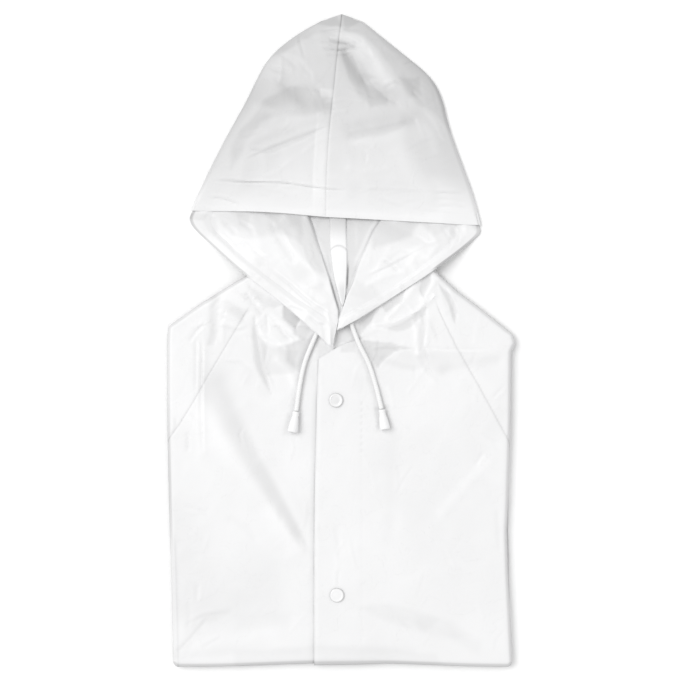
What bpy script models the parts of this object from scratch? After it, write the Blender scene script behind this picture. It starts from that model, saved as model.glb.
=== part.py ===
"""Hooded rain jacket of soft white vinyl, folded flat and lying on its back.

+Y runs from the folded waist up to the tip of the hood, +X to the wearer's left, and +Z up from the
surface that the jacket lies on. The sides, the sleeves and the lower half are folded behind the
chest, so they share one rounded solid, layered at its edges. The fronts, the raglan sleeves and the
foot of the hood lie over it as one draped sheet, cut along the seams. The hood lies on its back with
its mouth open towards the chest, and the ends of its drawcord hang from below the casing.

Sizes are in millimetres, and MM turns them into Blender's metres.
"""

import math
from collections import namedtuple

import bmesh
import bpy
from mathutils import Vector
from mathutils.bvhtree import BVHTree

MM = 0.001

# Walls and gaps
WALL = 1.2  # a vinyl wall
LAYER_GAP = 0.3  # between one layer and the next
SEAM_GAP = 0.4  # between two panels that are welded side by side
FLAP_RISE = WALL + LAYER_GAP  # how far the closing flap lies above the front under it

# The folded body
FOLD_RADIUS = 3.6  # the round of the sheet's folded edge, inside the cloth
THICK_CENTRE = 11.6  # the folded layers, from the floor to the sheet
THICK_EDGE = 10.4
THICK_NECK = 9.6
WAIST_Y = -309.5
NECK_Y = 70.0  # the back of the neck, hidden below the hood
BODY_WIDTH = 322.0  # between the rounds of the folded sides
SHEET_STEP = 12.5  # spacing of the sheet's sections
LAYERS_STEP = 26.0
LAYERS_INSET = 0.5  # how much further in the hidden layers lie than the sheet's inside
LAYERS_DROP = 1.3  # and how much lower, so that a trough in the sheet clears them
RIM_ROOM = 1.3  # how far the layers' edge rises inside the sheet's turned edge
PEEP = 3.4  # how far the lower layers show past the sheet at the left side
PEEP_Y = -205.0
PEEP_REACH = 48.0

BodySection = namedtuple("BodySection", "y right left")
BODY_SECTIONS = (  # x of the outline on the wearer's right and left
    BodySection(-309.5, -159.4, 163.0),
    BodySection(-270.0, -160.2, 161.2),
    BodySection(-225.0, -161.4, 158.8),
    BodySection(-185.0, -162.8, 157.6),
    BodySection(-155.0, -163.6, 158.9),
    BodySection(-80.0, -165.2, 161.2),
    BodySection(-14.0, -165.4, 161.8),
    BodySection(-5.0, -165.3, 165.8),
    BodySection(3.0, -165.0, 163.4),
    BodySection(14.0, -164.2, 149.5),
    BodySection(30.0, -137.8, 129.5),
    BodySection(44.0, -114.8, 110.5),
    BodySection(58.0, -91.9, 95.5),
    BodySection(70.0, -76.0, 84.0),
)

CORNER_SECTIONS = (-14.5, -5.0, 3.0, 13.5)  # these keep the shoulders' corners crisp

LayerRing = namedtuple("LayerRing", "share inset")
LAYER_RINGS = (  # down the edge of both folded layers: share of the stack's height, and distance in
    LayerRing(1.0, 2.6),
    LayerRing(0.93, 0.5),
    LayerRing(0.76, 0.0),
    LayerRing(0.6, 0.5),
    LayerRing(0.52, 2.0),
    LayerRing(0.44, 0.4),
    LayerRing(0.24, 0.0),
    LayerRing(0.08, 0.7),
    LayerRing(0.0, 2.4),
)

# Seams of the draped sheet, each as points from the neck outwards
NECK_POINT_RIGHT = (-84.8, 33.0)  # where the raglan seam meets the neck seam
NECK_POINT_LEFT = (88.4, 38.5)
RAGLAN_RIGHT = ((-129.8, -42.8), (-138.0, -57.8), (-153.0, -82.2), (-176.0, -113.0))
RAGLAN_LEFT = ((93.5, 24.0), (101.0, 8.3), (110.5, -10.8), (132.2, -48.9), (176.0, -129.0))
NECK_SEAM_RIGHT = ((-71.0, 23.0), (-46.5, -1.0), (-24.0, -13.0), (-9.0, -11.5))
NECK_SEAM_LEFT = ((3.0, -6.4), (27.5, 1.6), (49.4, 13.3), (78.5, 28.0))
UNDERLAP_X = 14.0  # how far the right front runs on below the closing flap
FLAP_TOP = ((-21.0, -20.0), (-8.5, -12.8), (-4.0, -9.4))  # the flap's upper corner, up to the neck
FLAP_EDGE = ((-21.6, -30.0), (-23.0, -62.0), (-25.6, -155.0), (-26.6, -250.0), (-26.8, -340.0))
FLAP_TOP_Y = 4.0  # the flap lies wholly below this
FLAP_WELD_X = 18.0  # the weld that ends the flap's doubled hem
FLAP_RAMP = 6.0  # how far the left front takes to come down beside it
FAR = 200.0  # past the outline on every side

Fold = namedtuple("Fold", "name x0 y0 x1 y1 width rise")
BODY_FOLDS = (  # soft ridges, and troughs where rise is below zero
    Fold("chest sweep upper", -112, -38, -72, -118, 13, 1.8),
    Fold("chest sweep lower", -72, -118, -24, -196, 9, 2.2),
    Fold("chest sweep valley", -100, -90, -52, -168, 8, -0.9),
    Fold("right shoulder crease", -130, 12, -131, -108, 4.5, 1.1),
    Fold("right neck gather", -77, 6, -66, -52, 7, -0.9),
    Fold("right neck ridge", -66, 8, -52, -22, 8, 1.3),
    Fold("right shoulder gather", -112, 32, -92, 8, 7, 1.1),
    Fold("left yoke crease", 60, -13, 152, -14, 6, 1.3),
    Fold("left neck gather", 84, 18, 74, -16, 6, 1.2),
    Fold("left shoulder gather", 96, 34, 113, -4, 7, 1.2),
    Fold("left chest pull", 150, -60, 60, -150, 16, 0.9),
    Fold("waist pull right", -150, -296, -60, -279, 8, 0.9),
    Fold("waist pull left", 44, -262, 134, -294, 9, 1.1),
)

# The hood
HOOD_REST = 0.6  # clearance of the hood over the sheet that it lies on
DRAPE_REACH = 52.0  # how far past the body's edge the hood takes to come down to the floor
CHIN_LIFT = 4.9  # the hood rides up over the drawcord's ends here
CHIN = (-8.0, 4.0)
CHIN_REACH = 62.0
HOOD_EDGE_GAP = 2.4  # height inside the hood at its folded edge
HOOD_MOUTH_GAP = 13.5  # height inside the hood at the middle of its mouth
CASING_WIDTH = 21.0
CASING_COLUMNS = 3
PANEL_COLUMNS = 6
PLEAT_STEEP = 2.4  # half the width of a pleat's steep side
EDGE_STEPS = 4  # points round the hood's folded edge
CASING_RISE = 1.6  # how far the drawcord inside puffs up the casing
CASING_WALL = 1.1

HoodRow = namedtuple("HoodRow", "seam_x crown_y back_x back_y right_x right_y left_x left_y")
CROWN_ROWS = (  # from the tip down to the brow: the seam's place, and the outline on each side
    HoodRow(1.0, 304.6, 1.0, 304.6, -18.0, 300.6, 20.5, 300.6),
    HoodRow(-0.4, 295.0, 0.4, 295.0, -37.5, 289.6, 40.5, 284.6),
    HoodRow(-2.6, 279.0, 0.2, 279.0, -56.0, 275.8, 60.5, 268.4),
    HoodRow(-4.4, 262.0, 0.0, 262.0, -70.6, 262.4, 79.6, 252.8),
    HoodRow(-6.0, 245.0, 0.0, 245.0, -79.4, 245.4, 90.6, 239.8),
    HoodRow(-7.8, 228.0, 0.0, 228.0, -87.2, 228.2, 97.2, 224.2),
    HoodRow(-9.8, 210.0, 0.0, 210.0, -96.4, 210.4, 101.0, 208.4),
    HoodRow(-11.8, 191.0, 0.0, 191.0, -106.4, 191.2, 106.0, 191.2),
    HoodRow(-13.4, 173.0, 0.0, 173.0, -115.4, 172.8, 112.2, 172.2),
    HoodRow(-14.8, 157.0, 0.0, 156.0, -122.8, 157.8, 118.0, 156.0),
    HoodRow(-15.6, 145.0, 0.0, 144.0, -128.0, 147.4, 122.2, 143.6),
    HoodRow(-16.0, 140.0, 0.0, 138.0, -130.4, 142.8, 124.2, 137.4),
    HoodRow(-16.4, 128.0, 0.0, 126.0, -136.6, 131.8, 128.8, 121.4),
    HoodRow(-17.0, 115.0, 0.0, 114.0, -142.2, 121.6, 132.2, 107.8),
)
CheekRow = namedtuple("CheekRow", "seam_x seam_y right_x right_y left_x left_y")
CHEEK_ROWS = (  # from the cheek's corner down to the chin, seen from inside the hood
    CheekRow(0.0, 101.0, -142.4, 112.6, 130.4, 100.2),
    CheekRow(0.2, 88.0, -136.6, 103.2, 123.4, 93.0),
    CheekRow(0.4, 76.0, -121.0, 88.0, 113.0, 83.2),
    CheekRow(0.6, 64.0, -106.0, 73.2, 100.0, 72.5),
    CheekRow(0.6, 54.0, -91.0, 59.5, 86.0, 62.0),
    CheekRow(0.4, 45.0, -77.0, 48.6, 72.0, 52.6),
    CheekRow(0.2, 37.0, -62.5, 37.2, 57.0, 43.0),
    CheekRow(0.0, 30.0, -48.5, 26.0, 42.5, 33.6),
    CheekRow(-0.8, 24.0, -36.5, 15.5, 29.0, 25.0),
    CheekRow(-2.2, 17.5, -27.0, 7.0, 16.5, 17.2),
)
# Below the mouth's lowest point the right half runs on to the flap, and the left half ends in a tip
CHIN_ROWS_RIGHT = (((-4.2, 8.0), (-20.5, 1.4)), ((-6.2, -1.0), (-15.5, -3.6)), ((-7.6, -8.6), (-11.6, -8.0)))
CHIN_ROWS_LEFT = (((-2.8, 12.5), (7.0, 12.2)), ((-3.9, 7.0), (0.6, 8.4)))

HOOD_FOLDS = (
    Fold("swoop beside the seam", 5, 268, 22, 246, 7, -2.2),
    Fold("swoop foot", 22, 246, 50, 227, 8, -2.0),
    Fold("swoop ridge", 16, 286, 62, 240, 8, 1.6),
    Fold("right crown hollow", -72, 246, -22, 240, 9, -1.4),
    Fold("right crown crease", -98, 176, -22, 203, 5, -1.2),
    Fold("left crown crease", 10, 197, 74, 210, 7, -1.3),
    Fold("left crown ridge", 20, 186, 92, 196, 9, 1.0),
    Fold("right casing weld", -135, 146, 0, 141, 2.5, -0.9),
    Fold("left casing weld", -10, 141, 122, 139, 2.5, -0.9),
)
Pleat = namedtuple("Pleat", "x0 y0 x1 y1 rise spread")
MOUTH_PLEATS = (  # inside the mouth, each cheek laps over the hood's centre back along a fold
    Pleat(-34.0, 132.0, -3.0, 16.0, 3.0, 42.0),
    Pleat(38.0, 128.0, 3.6, 20.0, 2.6, 42.0),
)

# The seam tape inside the hood, with the rounded tab that laps over it
Tape = namedtuple("Tape", "x y half_width")
TAPE_SECTIONS = (
    Tape(-3.4, 126.0, 9.0),
    Tape(-3.0, 114.0, 8.8),
    Tape(-2.8, 101.0, 8.4),
    Tape(-2.8, 88.0, 8.0),
    Tape(-2.8, 82.0, 8.0),
    Tape(-2.7, 76.0, 7.8),
    Tape(-2.4, 64.0, 7.2),
    Tape(-2.0, 54.0, 6.4),
    Tape(-1.5, 45.0, 5.3),
    Tape(-1.0, 37.0, 3.8),
    Tape(-0.6, 33.0, 2.6),
)
TAPE_WALL = 1.0
TAPE_LIFT = 0.5

# Drawcord, its moulded ends, and the snaps
CORD_RADIUS = 2.1
CORD_REST = 0.6  # from the sheet to the cord
CORD_STEP = 5.0
CORD_RIGHT = ((-16.8, 17.0), (-23.5, 2.8), (-33.6, -21.8), (-38.8, -44.6), (-42.2, -69.5))
CORD_LEFT = ((5.2, 25.0), (10.0, 12.0), (16.8, -5.7), (26.2, -24.5), (33.0, -46.0), (38.4, -67.5))
BellEnd = namedtuple("BellEnd", "side x0 y0 x1 y1")
BELL_ENDS = (
    BellEnd("right", -42.3, -70.2, -45.7, -89.4),
    BellEnd("left", 38.6, -68.2, 41.6, -86.8),
)
BELL_MOUTH_RADIUS = 2.9
BELL_FOOT_RADIUS = 4.9
SNAP_RADIUS = 6.8
SNAP_HEIGHT = 2.2
SNAP_CENTRES = (("upper", -4.8, -59.4), ("lower", -3.9, -243.7))


def smooth(t):
    """0 below 0, 1 above 1, and an even S between."""
    t = min(1.0, max(0.0, t))
    return t * t * (3 - 2 * t)


def between(table, column, key, value):
    """The column's value at key = value, read from a table's rows in order."""
    for low, high in zip(table, table[1:]):
        if value <= getattr(high, key):
            break
    share = (value - getattr(low, key)) / (getattr(high, key) - getattr(low, key))
    return getattr(low, column) + share * (getattr(high, column) - getattr(low, column))


def spine_share(x, y, line):
    """How far along a line from (x0, y0) to (x1, y1) the point lies, and its distance from it."""
    along = Vector((line.x1 - line.x0, line.y1 - line.y0))
    out = Vector((x - line.x0, y - line.y0))
    share = out.dot(along) / along.length_squared
    held = min(1.0, max(0.0, share))
    return share, (out - along * held).length


def fold_height(x, y, folds):
    """The ridges and troughs at a point, each fading out at its sides and ends."""
    return sum(fold.rise * math.exp(-((spine_share(x, y, fold)[1] / fold.width) ** 2)) for fold in folds)


# ---------------------------------------------------------------- the folded body


def layers_height(x, y):
    """Height of the folded layers' flat top."""
    towards_edge = (x / 165.0) ** 2
    thick = THICK_CENTRE + (THICK_EDGE - THICK_CENTRE) * towards_edge
    return thick + (THICK_NECK - thick) * smooth((y + 40.0) / 90.0)


def sheet_top(x, y, rise=0.0):
    """Height of the draped sheet's outer face away from its edges."""
    return layers_height(x, y) + LAYER_GAP + WALL + fold_height(x, y, BODY_FOLDS) + rise


def stations(low, high, step, leans):
    """Places from low to high as (place, lean): the leans go round the folded edge at each end."""
    count = math.ceil((high - low) / step)
    flat = [(low + (high - low) * n / count, 0.0) for n in range(count + 1)]
    return [(low, -lean) for lean in leans] + flat + [(high, lean) for lean in reversed(leans)]


def side_stretch(side, y):
    """How much wider along a section a distance from the outline is, where the side slants."""
    slope = between(BODY_SECTIONS, side, "y", y + 2) - between(BODY_SECTIONS, side, "y", y - 2)
    return math.hypot(1.0, slope / 4)


def body_point(row, column, inset, folds):
    """A point of the body's top: row and column are (place, lean), and lean turns down round the edge."""
    y, lean_y = row
    share, lean_x = column
    stretch_right = side_stretch("right", y)
    stretch_left = side_stretch("left", y)
    reach_in = FLAP_RISE + inset + FOLD_RADIUS
    flat_right = between(BODY_SECTIONS, "right", "y", y) + reach_in * stretch_right
    flat_left = between(BODY_SECTIONS, "left", "y", y) - reach_in * stretch_left
    x = flat_right + share * (flat_left - flat_right)
    lean = math.radians(max(abs(lean_x), abs(lean_y)))
    way = Vector((lean_x, lean_y))
    if lean:
        way.normalize()
    reach = FOLD_RADIUS * math.sin(lean)
    height = layers_height(x, y) - FOLD_RADIUS + FOLD_RADIUS * math.cos(lean)
    if folds and not lean:
        height += fold_height(x, y, BODY_FOLDS) * edge_share(x, y)
    stretch = stretch_right if share < 0.5 else stretch_left
    return Vector((x + way.x * reach * stretch, y + way.y * reach, height))


def edge_share(x, y):
    """0 at the body's outline and 1 from 14 mm inside it, so that folds die out at the edges."""
    sides = (
        x - between(BODY_SECTIONS, "right", "y", y),
        between(BODY_SECTIONS, "left", "y", y) - x,
        y - WAIST_Y,
    )
    return smooth((min(sides) - 4.0) / 14.0)


def body_grid(step, leans, inset, folds):
    """Rows of points over the body's top, from the waist to the neck and from right to left."""
    low = WAIST_Y + FLAP_RISE + inset + FOLD_RADIUS
    high = NECK_Y - FLAP_RISE - inset - FOLD_RADIUS
    rows = stations(low, high, step, leans)
    rows = sorted(rows + [(y, 0.0) for y in CORNER_SECTIONS], key=lambda row: (row[0], row[1]))
    columns = stations(0.0, 1.0, step / BODY_WIDTH, leans)
    return [[body_point(row, column, inset, folds) for column in columns] for row in rows]


def rim_of(grid):
    """The grid's outer points: along the waist, up the left, back along the neck, down the right."""
    waist = grid[0]
    left = [row[-1] for row in grid[1:]]
    neck = grid[-1][-2::-1]
    right = [row[0] for row in grid[-2:0:-1]]
    return waist + left + neck + right


# ---------------------------------------------------------------- mesh helpers


def add_object(name, mesh, material, collection):
    """A new object that holds this mesh."""
    piece = bpy.data.objects.new(name, mesh)
    if material:
        mesh.materials.clear()
        mesh.materials.append(material)
    collection.objects.link(piece)
    return piece


def grid_faces(shape, grid, flip=False):
    """Lofts rows of bmesh vertices into faces."""
    for low, high in zip(grid, grid[1:]):
        for a, b, c, d in zip(low, low[1:], high[1:], high):
            corners = [v for n, v in enumerate((a, b, c, d)) if v not in (a, b, c, d)[:n]]
            if len(corners) > 2:
                shape.faces.new(corners[::-1] if flip else corners)


def mesh_from(shape, name):
    """Ends a bmesh as a smooth-shaded mesh in metres."""
    bmesh.ops.scale(shape, vec=(MM, MM, MM), verts=shape.verts)
    mesh = bpy.data.meshes.new(name)
    shape.to_mesh(mesh)
    shape.free()
    mesh.shade_smooth()
    return mesh


def wall_modifier(piece, wall):
    """Thickens an open surface on its outer side."""
    solid = piece.modifiers.new("Wall", "SOLIDIFY")
    solid.thickness = wall * MM
    solid.offset = 1.0
    solid.use_even_offset = False


def material_of(name, colour, roughness):
    """A Principled material."""
    material = bpy.data.materials.new(name)
    material.use_nodes = True
    shader = material.node_tree.nodes["Principled BSDF"]
    shader.inputs["Base Color"].default_value = (*colour, 1.0)
    shader.inputs["Roughness"].default_value = roughness
    shader.inputs["Metallic"].default_value = 0.0
    return material


def inset_outline(corners, distance):
    """A counter-clockwise outline with every side moved in by the distance."""
    points = [Vector(corner) for corner in corners]
    moved = []
    for before, point, after in zip(points[-1:] + points[:-1], points, points[1:] + points[:1]):
        first = (point - before).normalized().orthogonal()
        second = (after - point).normalized().orthogonal()
        moved.append(point + (first + second) * distance / (1.0 + first.dot(second)))
    return moved


def prism_cutter(name, corners, collection):
    """A tall prism over an outline, which keeps what lies inside it."""
    shape = bmesh.new()
    foot = shape.faces.new([shape.verts.new((corner.x, corner.y, -5.0)) for corner in corners])
    raised = bmesh.ops.extrude_face_region(shape, geom=[foot])["geom"]
    tops = [item for item in raised if isinstance(item, bmesh.types.BMVert)]
    bmesh.ops.translate(shape, vec=(0, 0, 50.0), verts=tops)
    bmesh.ops.recalc_face_normals(shape, faces=shape.faces)
    cutter = add_object(name, mesh_from(shape, name), None, collection)
    cutter.hide_render = True
    cutter.display_type = "WIRE"
    return cutter


# ---------------------------------------------------------------- the pieces


def build_layers(material, collection):
    """The hidden back, sleeves and lower half: one rounded solid with two folded layers at its edge."""
    grid = body_grid(LAYERS_STEP, (90.0, 55.0, 25.0), LAYERS_INSET, folds=False)
    for row in grid[3:-3]:
        for point in row[3:-3]:
            point.z -= LAYERS_DROP
    shape = bmesh.new()
    verts = [[shape.verts.new(point) for point in row] for row in grid]
    grid_faces(shape, verts)
    rim = rim_of(grid)
    ring = rim_of(verts)
    for share, ring_inset in LAYER_RINGS:
        lower = []
        for before, point, after in zip(rim[-1:] + rim[:-1], rim, rim[1:] + rim[:1]):
            side = after - before
            inwards = Vector((-side.y, side.x, 0.0)).normalized()
            inset = ring_inset
            if point.x > 0 and share < 0.5:
                inset -= PEEP * math.exp(-(((point.y - PEEP_Y) / PEEP_REACH) ** 2))
            height = share * (point.z - FOLD_RADIUS + RIM_ROOM)
            lower.append(shape.verts.new(Vector((point.x, point.y, height)) + inwards * inset))
        grid_faces(shape, [lower + lower[:1], ring + ring[:1]])
        ring = lower
    shape.faces.new(ring[::-1])
    bmesh.ops.recalc_face_normals(shape, faces=shape.faces)
    add_object("folded_layers", mesh_from(shape, "folded_layers"), material, collection)


def sheet_mesh(name, flap):
    """The draped sheet's inner face. With the flap, its right part is lifted over the front below it."""
    grid = body_grid(SHEET_STEP, (112.0, 90.0, 62.0, 36.0, 14.0), 0.0, folds=True)
    shape = bmesh.new()
    verts = [[shape.verts.new(point) for point in row] for row in grid]
    grid_faces(shape, verts)
    if flap:  # a section at each end of the ramp
        for x in (FLAP_WELD_X, FLAP_WELD_X + FLAP_RAMP):
            geometry = shape.verts[:] + shape.edges[:] + shape.faces[:]
            bmesh.ops.bisect_plane(shape, geom=geometry, plane_co=(x, 0, 0), plane_no=(1, 0, 0))
    shape.normal_update()
    normals = [vert.normal.copy() for vert in shape.verts]
    for vert, normal in zip(shape.verts, normals):
        rise = 0.0
        if flap:
            rise = FLAP_RISE * (1.0 - smooth((vert.co.x - FLAP_WELD_X) / FLAP_RAMP))
        vert.co += normal * (LAYER_GAP + rise)
    return mesh_from(shape, name)


def panel_outlines():
    """The outline of each piece of the draped sheet, counter-clockwise."""
    raglan_right = [NECK_POINT_RIGHT, *RAGLAN_RIGHT]
    raglan_left = [NECK_POINT_LEFT, *RAGLAN_LEFT]
    neck_right = [NECK_POINT_RIGHT, *NECK_SEAM_RIGHT]
    neck_left = [*NECK_SEAM_LEFT, NECK_POINT_LEFT]
    top_right, top_left = (-92.0, 90.0), (99.0, 90.0)
    under_flap = [(UNDERLAP_X, -340.0), (UNDERLAP_X, -4.0)]
    right_end, left_end = (-FAR, RAGLAN_RIGHT[-1][1]), (FAR, RAGLAN_LEFT[-1][1])
    return {
        "sleeve_right": [top_right, (-FAR, 90.0), right_end, *raglan_right[::-1]],
        "front_right": [*raglan_right, right_end, (-FAR, -340.0), *under_flap, *neck_right[:0:-1]],
        "front_left": [*FLAP_TOP[::-1], *FLAP_EDGE, (FAR, -340.0), left_end]
        + [*raglan_left[::-1], *neck_left[-2::-1]],
        "sleeve_left": [*raglan_left, left_end, (FAR, 90.0), top_left],
        "hood_foot": [top_right, *neck_right, *neck_left, top_left],
    }


def build_sheet(material, collection, cutters):
    """The fronts, sleeves and foot of the hood, cut from the draped sheet along its seams."""
    for name, outline in panel_outlines().items():
        mesh = sheet_mesh(name, flap=name == "front_left")
        panel = add_object(name, mesh, material, collection)
        wall_modifier(panel, WALL)
        cutter = prism_cutter("cut_" + name, inset_outline(outline, SEAM_GAP / 2), cutters)
        cut = panel.modifiers.new("Seams", "BOOLEAN")
        cut.operation = "INTERSECT"
        cut.object = cutter


# ---------------------------------------------------------------- the hood


def outside_body(x, y):
    """Distance past the body's outline at the shoulders and neck, and below zero inside it."""
    slope_right = 0.857 * (y - 14.0) - 0.515 * (x + 164.2)
    slope_left = 0.775 * (y - 3.0) + 0.632 * (x - 163.4)
    return max(slope_right, slope_left, y - NECK_Y)


def hood_floor(x, y):
    """Height of the hood's underside: on the sheet over the body, and on the floor past its edge."""
    on_body = layers_height(x, min(y, NECK_Y)) + LAYER_GAP + WALL + HOOD_REST
    near_chin = 1.0 - smooth(math.hypot(x - CHIN[0], y - CHIN[1]) / CHIN_REACH)
    on_body += CHIN_LIFT * min(1.0, 1.9 * near_chin)
    return on_body * (1.0 - smooth((outside_body(x, y) - 1.0) / DRAPE_REACH))


def pleat_height(x, y):
    """The cheeks' lap over the hood's centre back: steep towards the middle, long towards the side."""
    height = 0.0
    for pleat in MOUTH_PLEATS:
        share, distance = spine_share(x, y, pleat)
        line_x = pleat.x0 + (pleat.x1 - pleat.x0) * min(1.0, max(0.0, share))
        outwards = (x - line_x) * (1 if pleat.x0 > 0 else -1)
        fade = smooth((share + 0.5) / 0.5) * smooth((1.15 - share) / 0.3)
        if outwards > 0:
            height += pleat.rise * fade * (1.0 - smooth(distance / pleat.spread))
        else:
            height += pleat.rise * fade * (1.0 - smooth(distance / PLEAT_STEEP))
    return height


def back_height(x, y):
    """Height of the hood's back wall, on the side that faces its hollow."""
    return hood_floor(x, y) + WALL + pleat_height(x, y)


def casing_columns(length):
    """Distances along a row at which the hem's columns lie, from its weld out to the edge."""
    casing = min(CASING_WIDTH, 0.6 * length)
    return [length - casing * (1.0 - n / CASING_COLUMNS) for n in range(CASING_COLUMNS + 1)]


def crown_row(seam, edge):
    """Points from the crown seam out to the edge."""
    seam, edge = Vector(seam), Vector(edge)
    hem = casing_columns((edge - seam).length)
    panel = [hem[0] * n / PANEL_COLUMNS for n in range(PANEL_COLUMNS)]
    return [seam.lerp(edge, distance / (edge - seam).length) for distance in panel + hem]


def back_row(seam, edge, pleat):
    """Points from the back seam out to the edge, with a column at the foot and the top of the pleat."""
    seam, edge = Vector(seam), Vector(edge)
    length = (edge - seam).length
    hem = casing_columns(length)
    share = min(1.0, max(0.0, (seam.y - pleat.y0) / (pleat.y1 - pleat.y0)))
    to_pleat = abs(pleat.x0 + (pleat.x1 - pleat.x0) * share - seam.x) * length / abs(edge.x - seam.x)
    foot = min(max(to_pleat - PLEAT_STEEP, 0.22 * hem[0]), 0.5 * hem[0])
    top = min(max(to_pleat + PLEAT_STEEP, foot + 0.15 * hem[0]), 0.75 * hem[0])
    panel = [0.0, foot / 2, foot, top, top + (hem[0] - top) / 3, top + (hem[0] - top) * 2 / 3]
    return [seam.lerp(edge, distance / length) for distance in panel + hem]


def mouth_gap(step, share):
    """Height inside the hood at a crown row, from its seam (share 0) out to its edge (share 1)."""
    down = min(1.0, 1.7 * step / (len(CROWN_ROWS) - 1))
    swell = (HOOD_MOUTH_GAP - HOOD_EDGE_GAP) * math.sin(down * math.pi / 2) ** 0.8
    return HOOD_EDGE_GAP + swell * (1.0 - share**2.4) ** 0.75


def hood_rows(side):
    """The hood half's rows as points on its hollow side: (crown rows, back rows)."""
    right = side == "right"
    gap = -SEAM_GAP / 2 if right else SEAM_GAP / 2
    pleat = MOUTH_PLEATS[0] if right else MOUTH_PLEATS[1]
    folded = crown_outline(right)
    ends = [((row.back_x, row.back_y), edge) for row, edge in zip(CROWN_ROWS, folded)]
    ends += [((row.seam_x, row.seam_y), outline_place(row, right)) for row in CHEEK_ROWS]
    ends += CHIN_ROWS_RIGHT if right else CHIN_ROWS_LEFT
    flat = [back_row((seam[0] + gap, seam[1]), edge, pleat) for seam, edge in ends]
    back = [[Vector((*place, back_height(*place))) for place in row] for row in flat]
    crown = []
    for step, row in enumerate(CROWN_ROWS):
        flat = crown_row((row.seam_x + gap, row.crown_y), folded[step])
        above = []
        for place in flat:
            share = (place - flat[0]).length / (flat[-1] - flat[0]).length
            height = WALL + hood_floor(*place) + mouth_gap(step, share)
            height += (1.0 - share**4) * smooth(step / 2) * fold_height(*place, HOOD_FOLDS)
            above.append(Vector((*place, height)))
        above[-1].z = back[step][-1].z + HOOD_EDGE_GAP
        crown.append(above)
    return crown, back


def outline_place(row, right):
    """Where a row meets the hood's outline."""
    return (row.right_x, row.right_y) if right else (row.left_x, row.left_y)


def crown_outline(right):
    """Where the crown's rows end, in from the outline by the round of the folded edge."""
    places = [Vector(outline_place(row, right)) for row in CROWN_ROWS]
    places = [Vector((CROWN_ROWS[0].seam_x, CROWN_ROWS[0].crown_y))] + places
    inwards = 1 if right else -1
    moved = []
    for before, place, after in zip(places, places[1:], places[2:] + places[-1:]):
        side = (after - before).normalized().orthogonal()
        moved.append(place + side * inwards * (HOOD_EDGE_GAP / 2 + WALL))
    return moved


def edge_round(upper, lower, outwards):
    """Points round the hood's folded edge, from the crown's edge down to the back's."""
    middle, radius = (upper + lower) / 2, (upper.z - lower.z) / 2
    points = []
    for n in range(1, EDGE_STEPS + 1):
        turn = math.pi / 2 - math.pi * n / (EDGE_STEPS + 1)
        points.append(middle + radius * (outwards * math.cos(turn) + Vector((0, 0, math.sin(turn)))))
    return points


def build_hood_half(side, material, collection):
    """One side of the hood: its crown and back are one wall, folded at the outline and open at the mouth."""
    crown, back = hood_rows(side)
    sign = -1 if side == "right" else 1
    shape = bmesh.new()
    crown_verts = [[shape.verts.new(point) for point in row] for row in crown]
    back_verts = [[shape.verts.new(point) for point in row] for row in back]
    grid_faces(shape, crown_verts)
    grid_faces(shape, back_verts, flip=True)
    outline = crown[0] + [row[-1] for row in crown[1:]]
    upper = crown_verts[0] + [row[-1] for row in crown_verts[1:]]
    lower = back_verts[0] + [row[-1] for row in back_verts[1 : len(crown)]]
    rounds = []
    for n, (top, bottom) in enumerate(zip(upper, lower)):
        before, after = outline[max(0, n - 1)], outline[min(len(outline) - 1, n + 1)]
        run = after - before
        outwards = Vector((-run.y, run.x, 0.0)).normalized() * sign
        if n == 0:
            outwards = Vector((0.0, 1.0, 0.0))
        points = edge_round(top.co, bottom.co, outwards)
        rounds.append([top] + [shape.verts.new(point) for point in points] + [bottom])
    grid_faces(shape, rounds)
    bmesh.ops.recalc_face_normals(shape, faces=shape.faces)
    top_face = crown_verts[4][0].link_faces[0]
    top_face.normal_update()
    if top_face.normal.z < 0:
        bmesh.ops.reverse_faces(shape, faces=shape.faces)
    half = add_object("hood_" + side, mesh_from(shape, "hood_" + side), material, collection)
    wall_modifier(half, WALL)
    return half


def strip_solid(name, rows, lift, wall, puff, material, collection):
    """A strip on a panel: the panel's own points moved out, with a top that puffs up across it."""
    shape = bmesh.new()
    under = [[point + Vector((0, 0, lift)) for point in row] for row in rows]
    over = []
    for row in under:
        rises = [wall + puff * math.sin(math.pi * n / (len(row) - 1)) for n in range(len(row))]
        over.append([point + Vector((0, 0, rise)) for point, rise in zip(row, rises)])
    low = [[shape.verts.new(point) for point in row] for row in under]
    high = [[shape.verts.new(point) for point in row] for row in over]
    grid_faces(shape, low, flip=True)
    grid_faces(shape, high)
    low_rim, high_rim = rim_of(low), rim_of(high)
    grid_faces(shape, [low_rim + low_rim[:1], high_rim + high_rim[:1]])
    bmesh.ops.recalc_face_normals(shape, faces=shape.faces)
    return add_object(name, mesh_from(shape, name), material, collection)


def build_casing(side, material, collection):
    """The hem that holds the drawcord, turned in along the cheek and seen from inside the hood."""
    _, back = hood_rows(side)
    rows = [row[-CASING_COLUMNS - 1 :] for row in back[len(CROWN_ROWS) - 2 : -1]]
    across = []
    for row in rows:  # stop just short of the edge, and add a middle to each column
        finer = []
        for near, far in zip(row, row[1:]):
            finer += [near, (near + far) / 2]
        across.append(finer + [row[-1].lerp(row[-2], 0.04)])
    strip_solid("casing_" + side, across, LAYER_GAP, CASING_WALL, CASING_RISE, material, collection)


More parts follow.
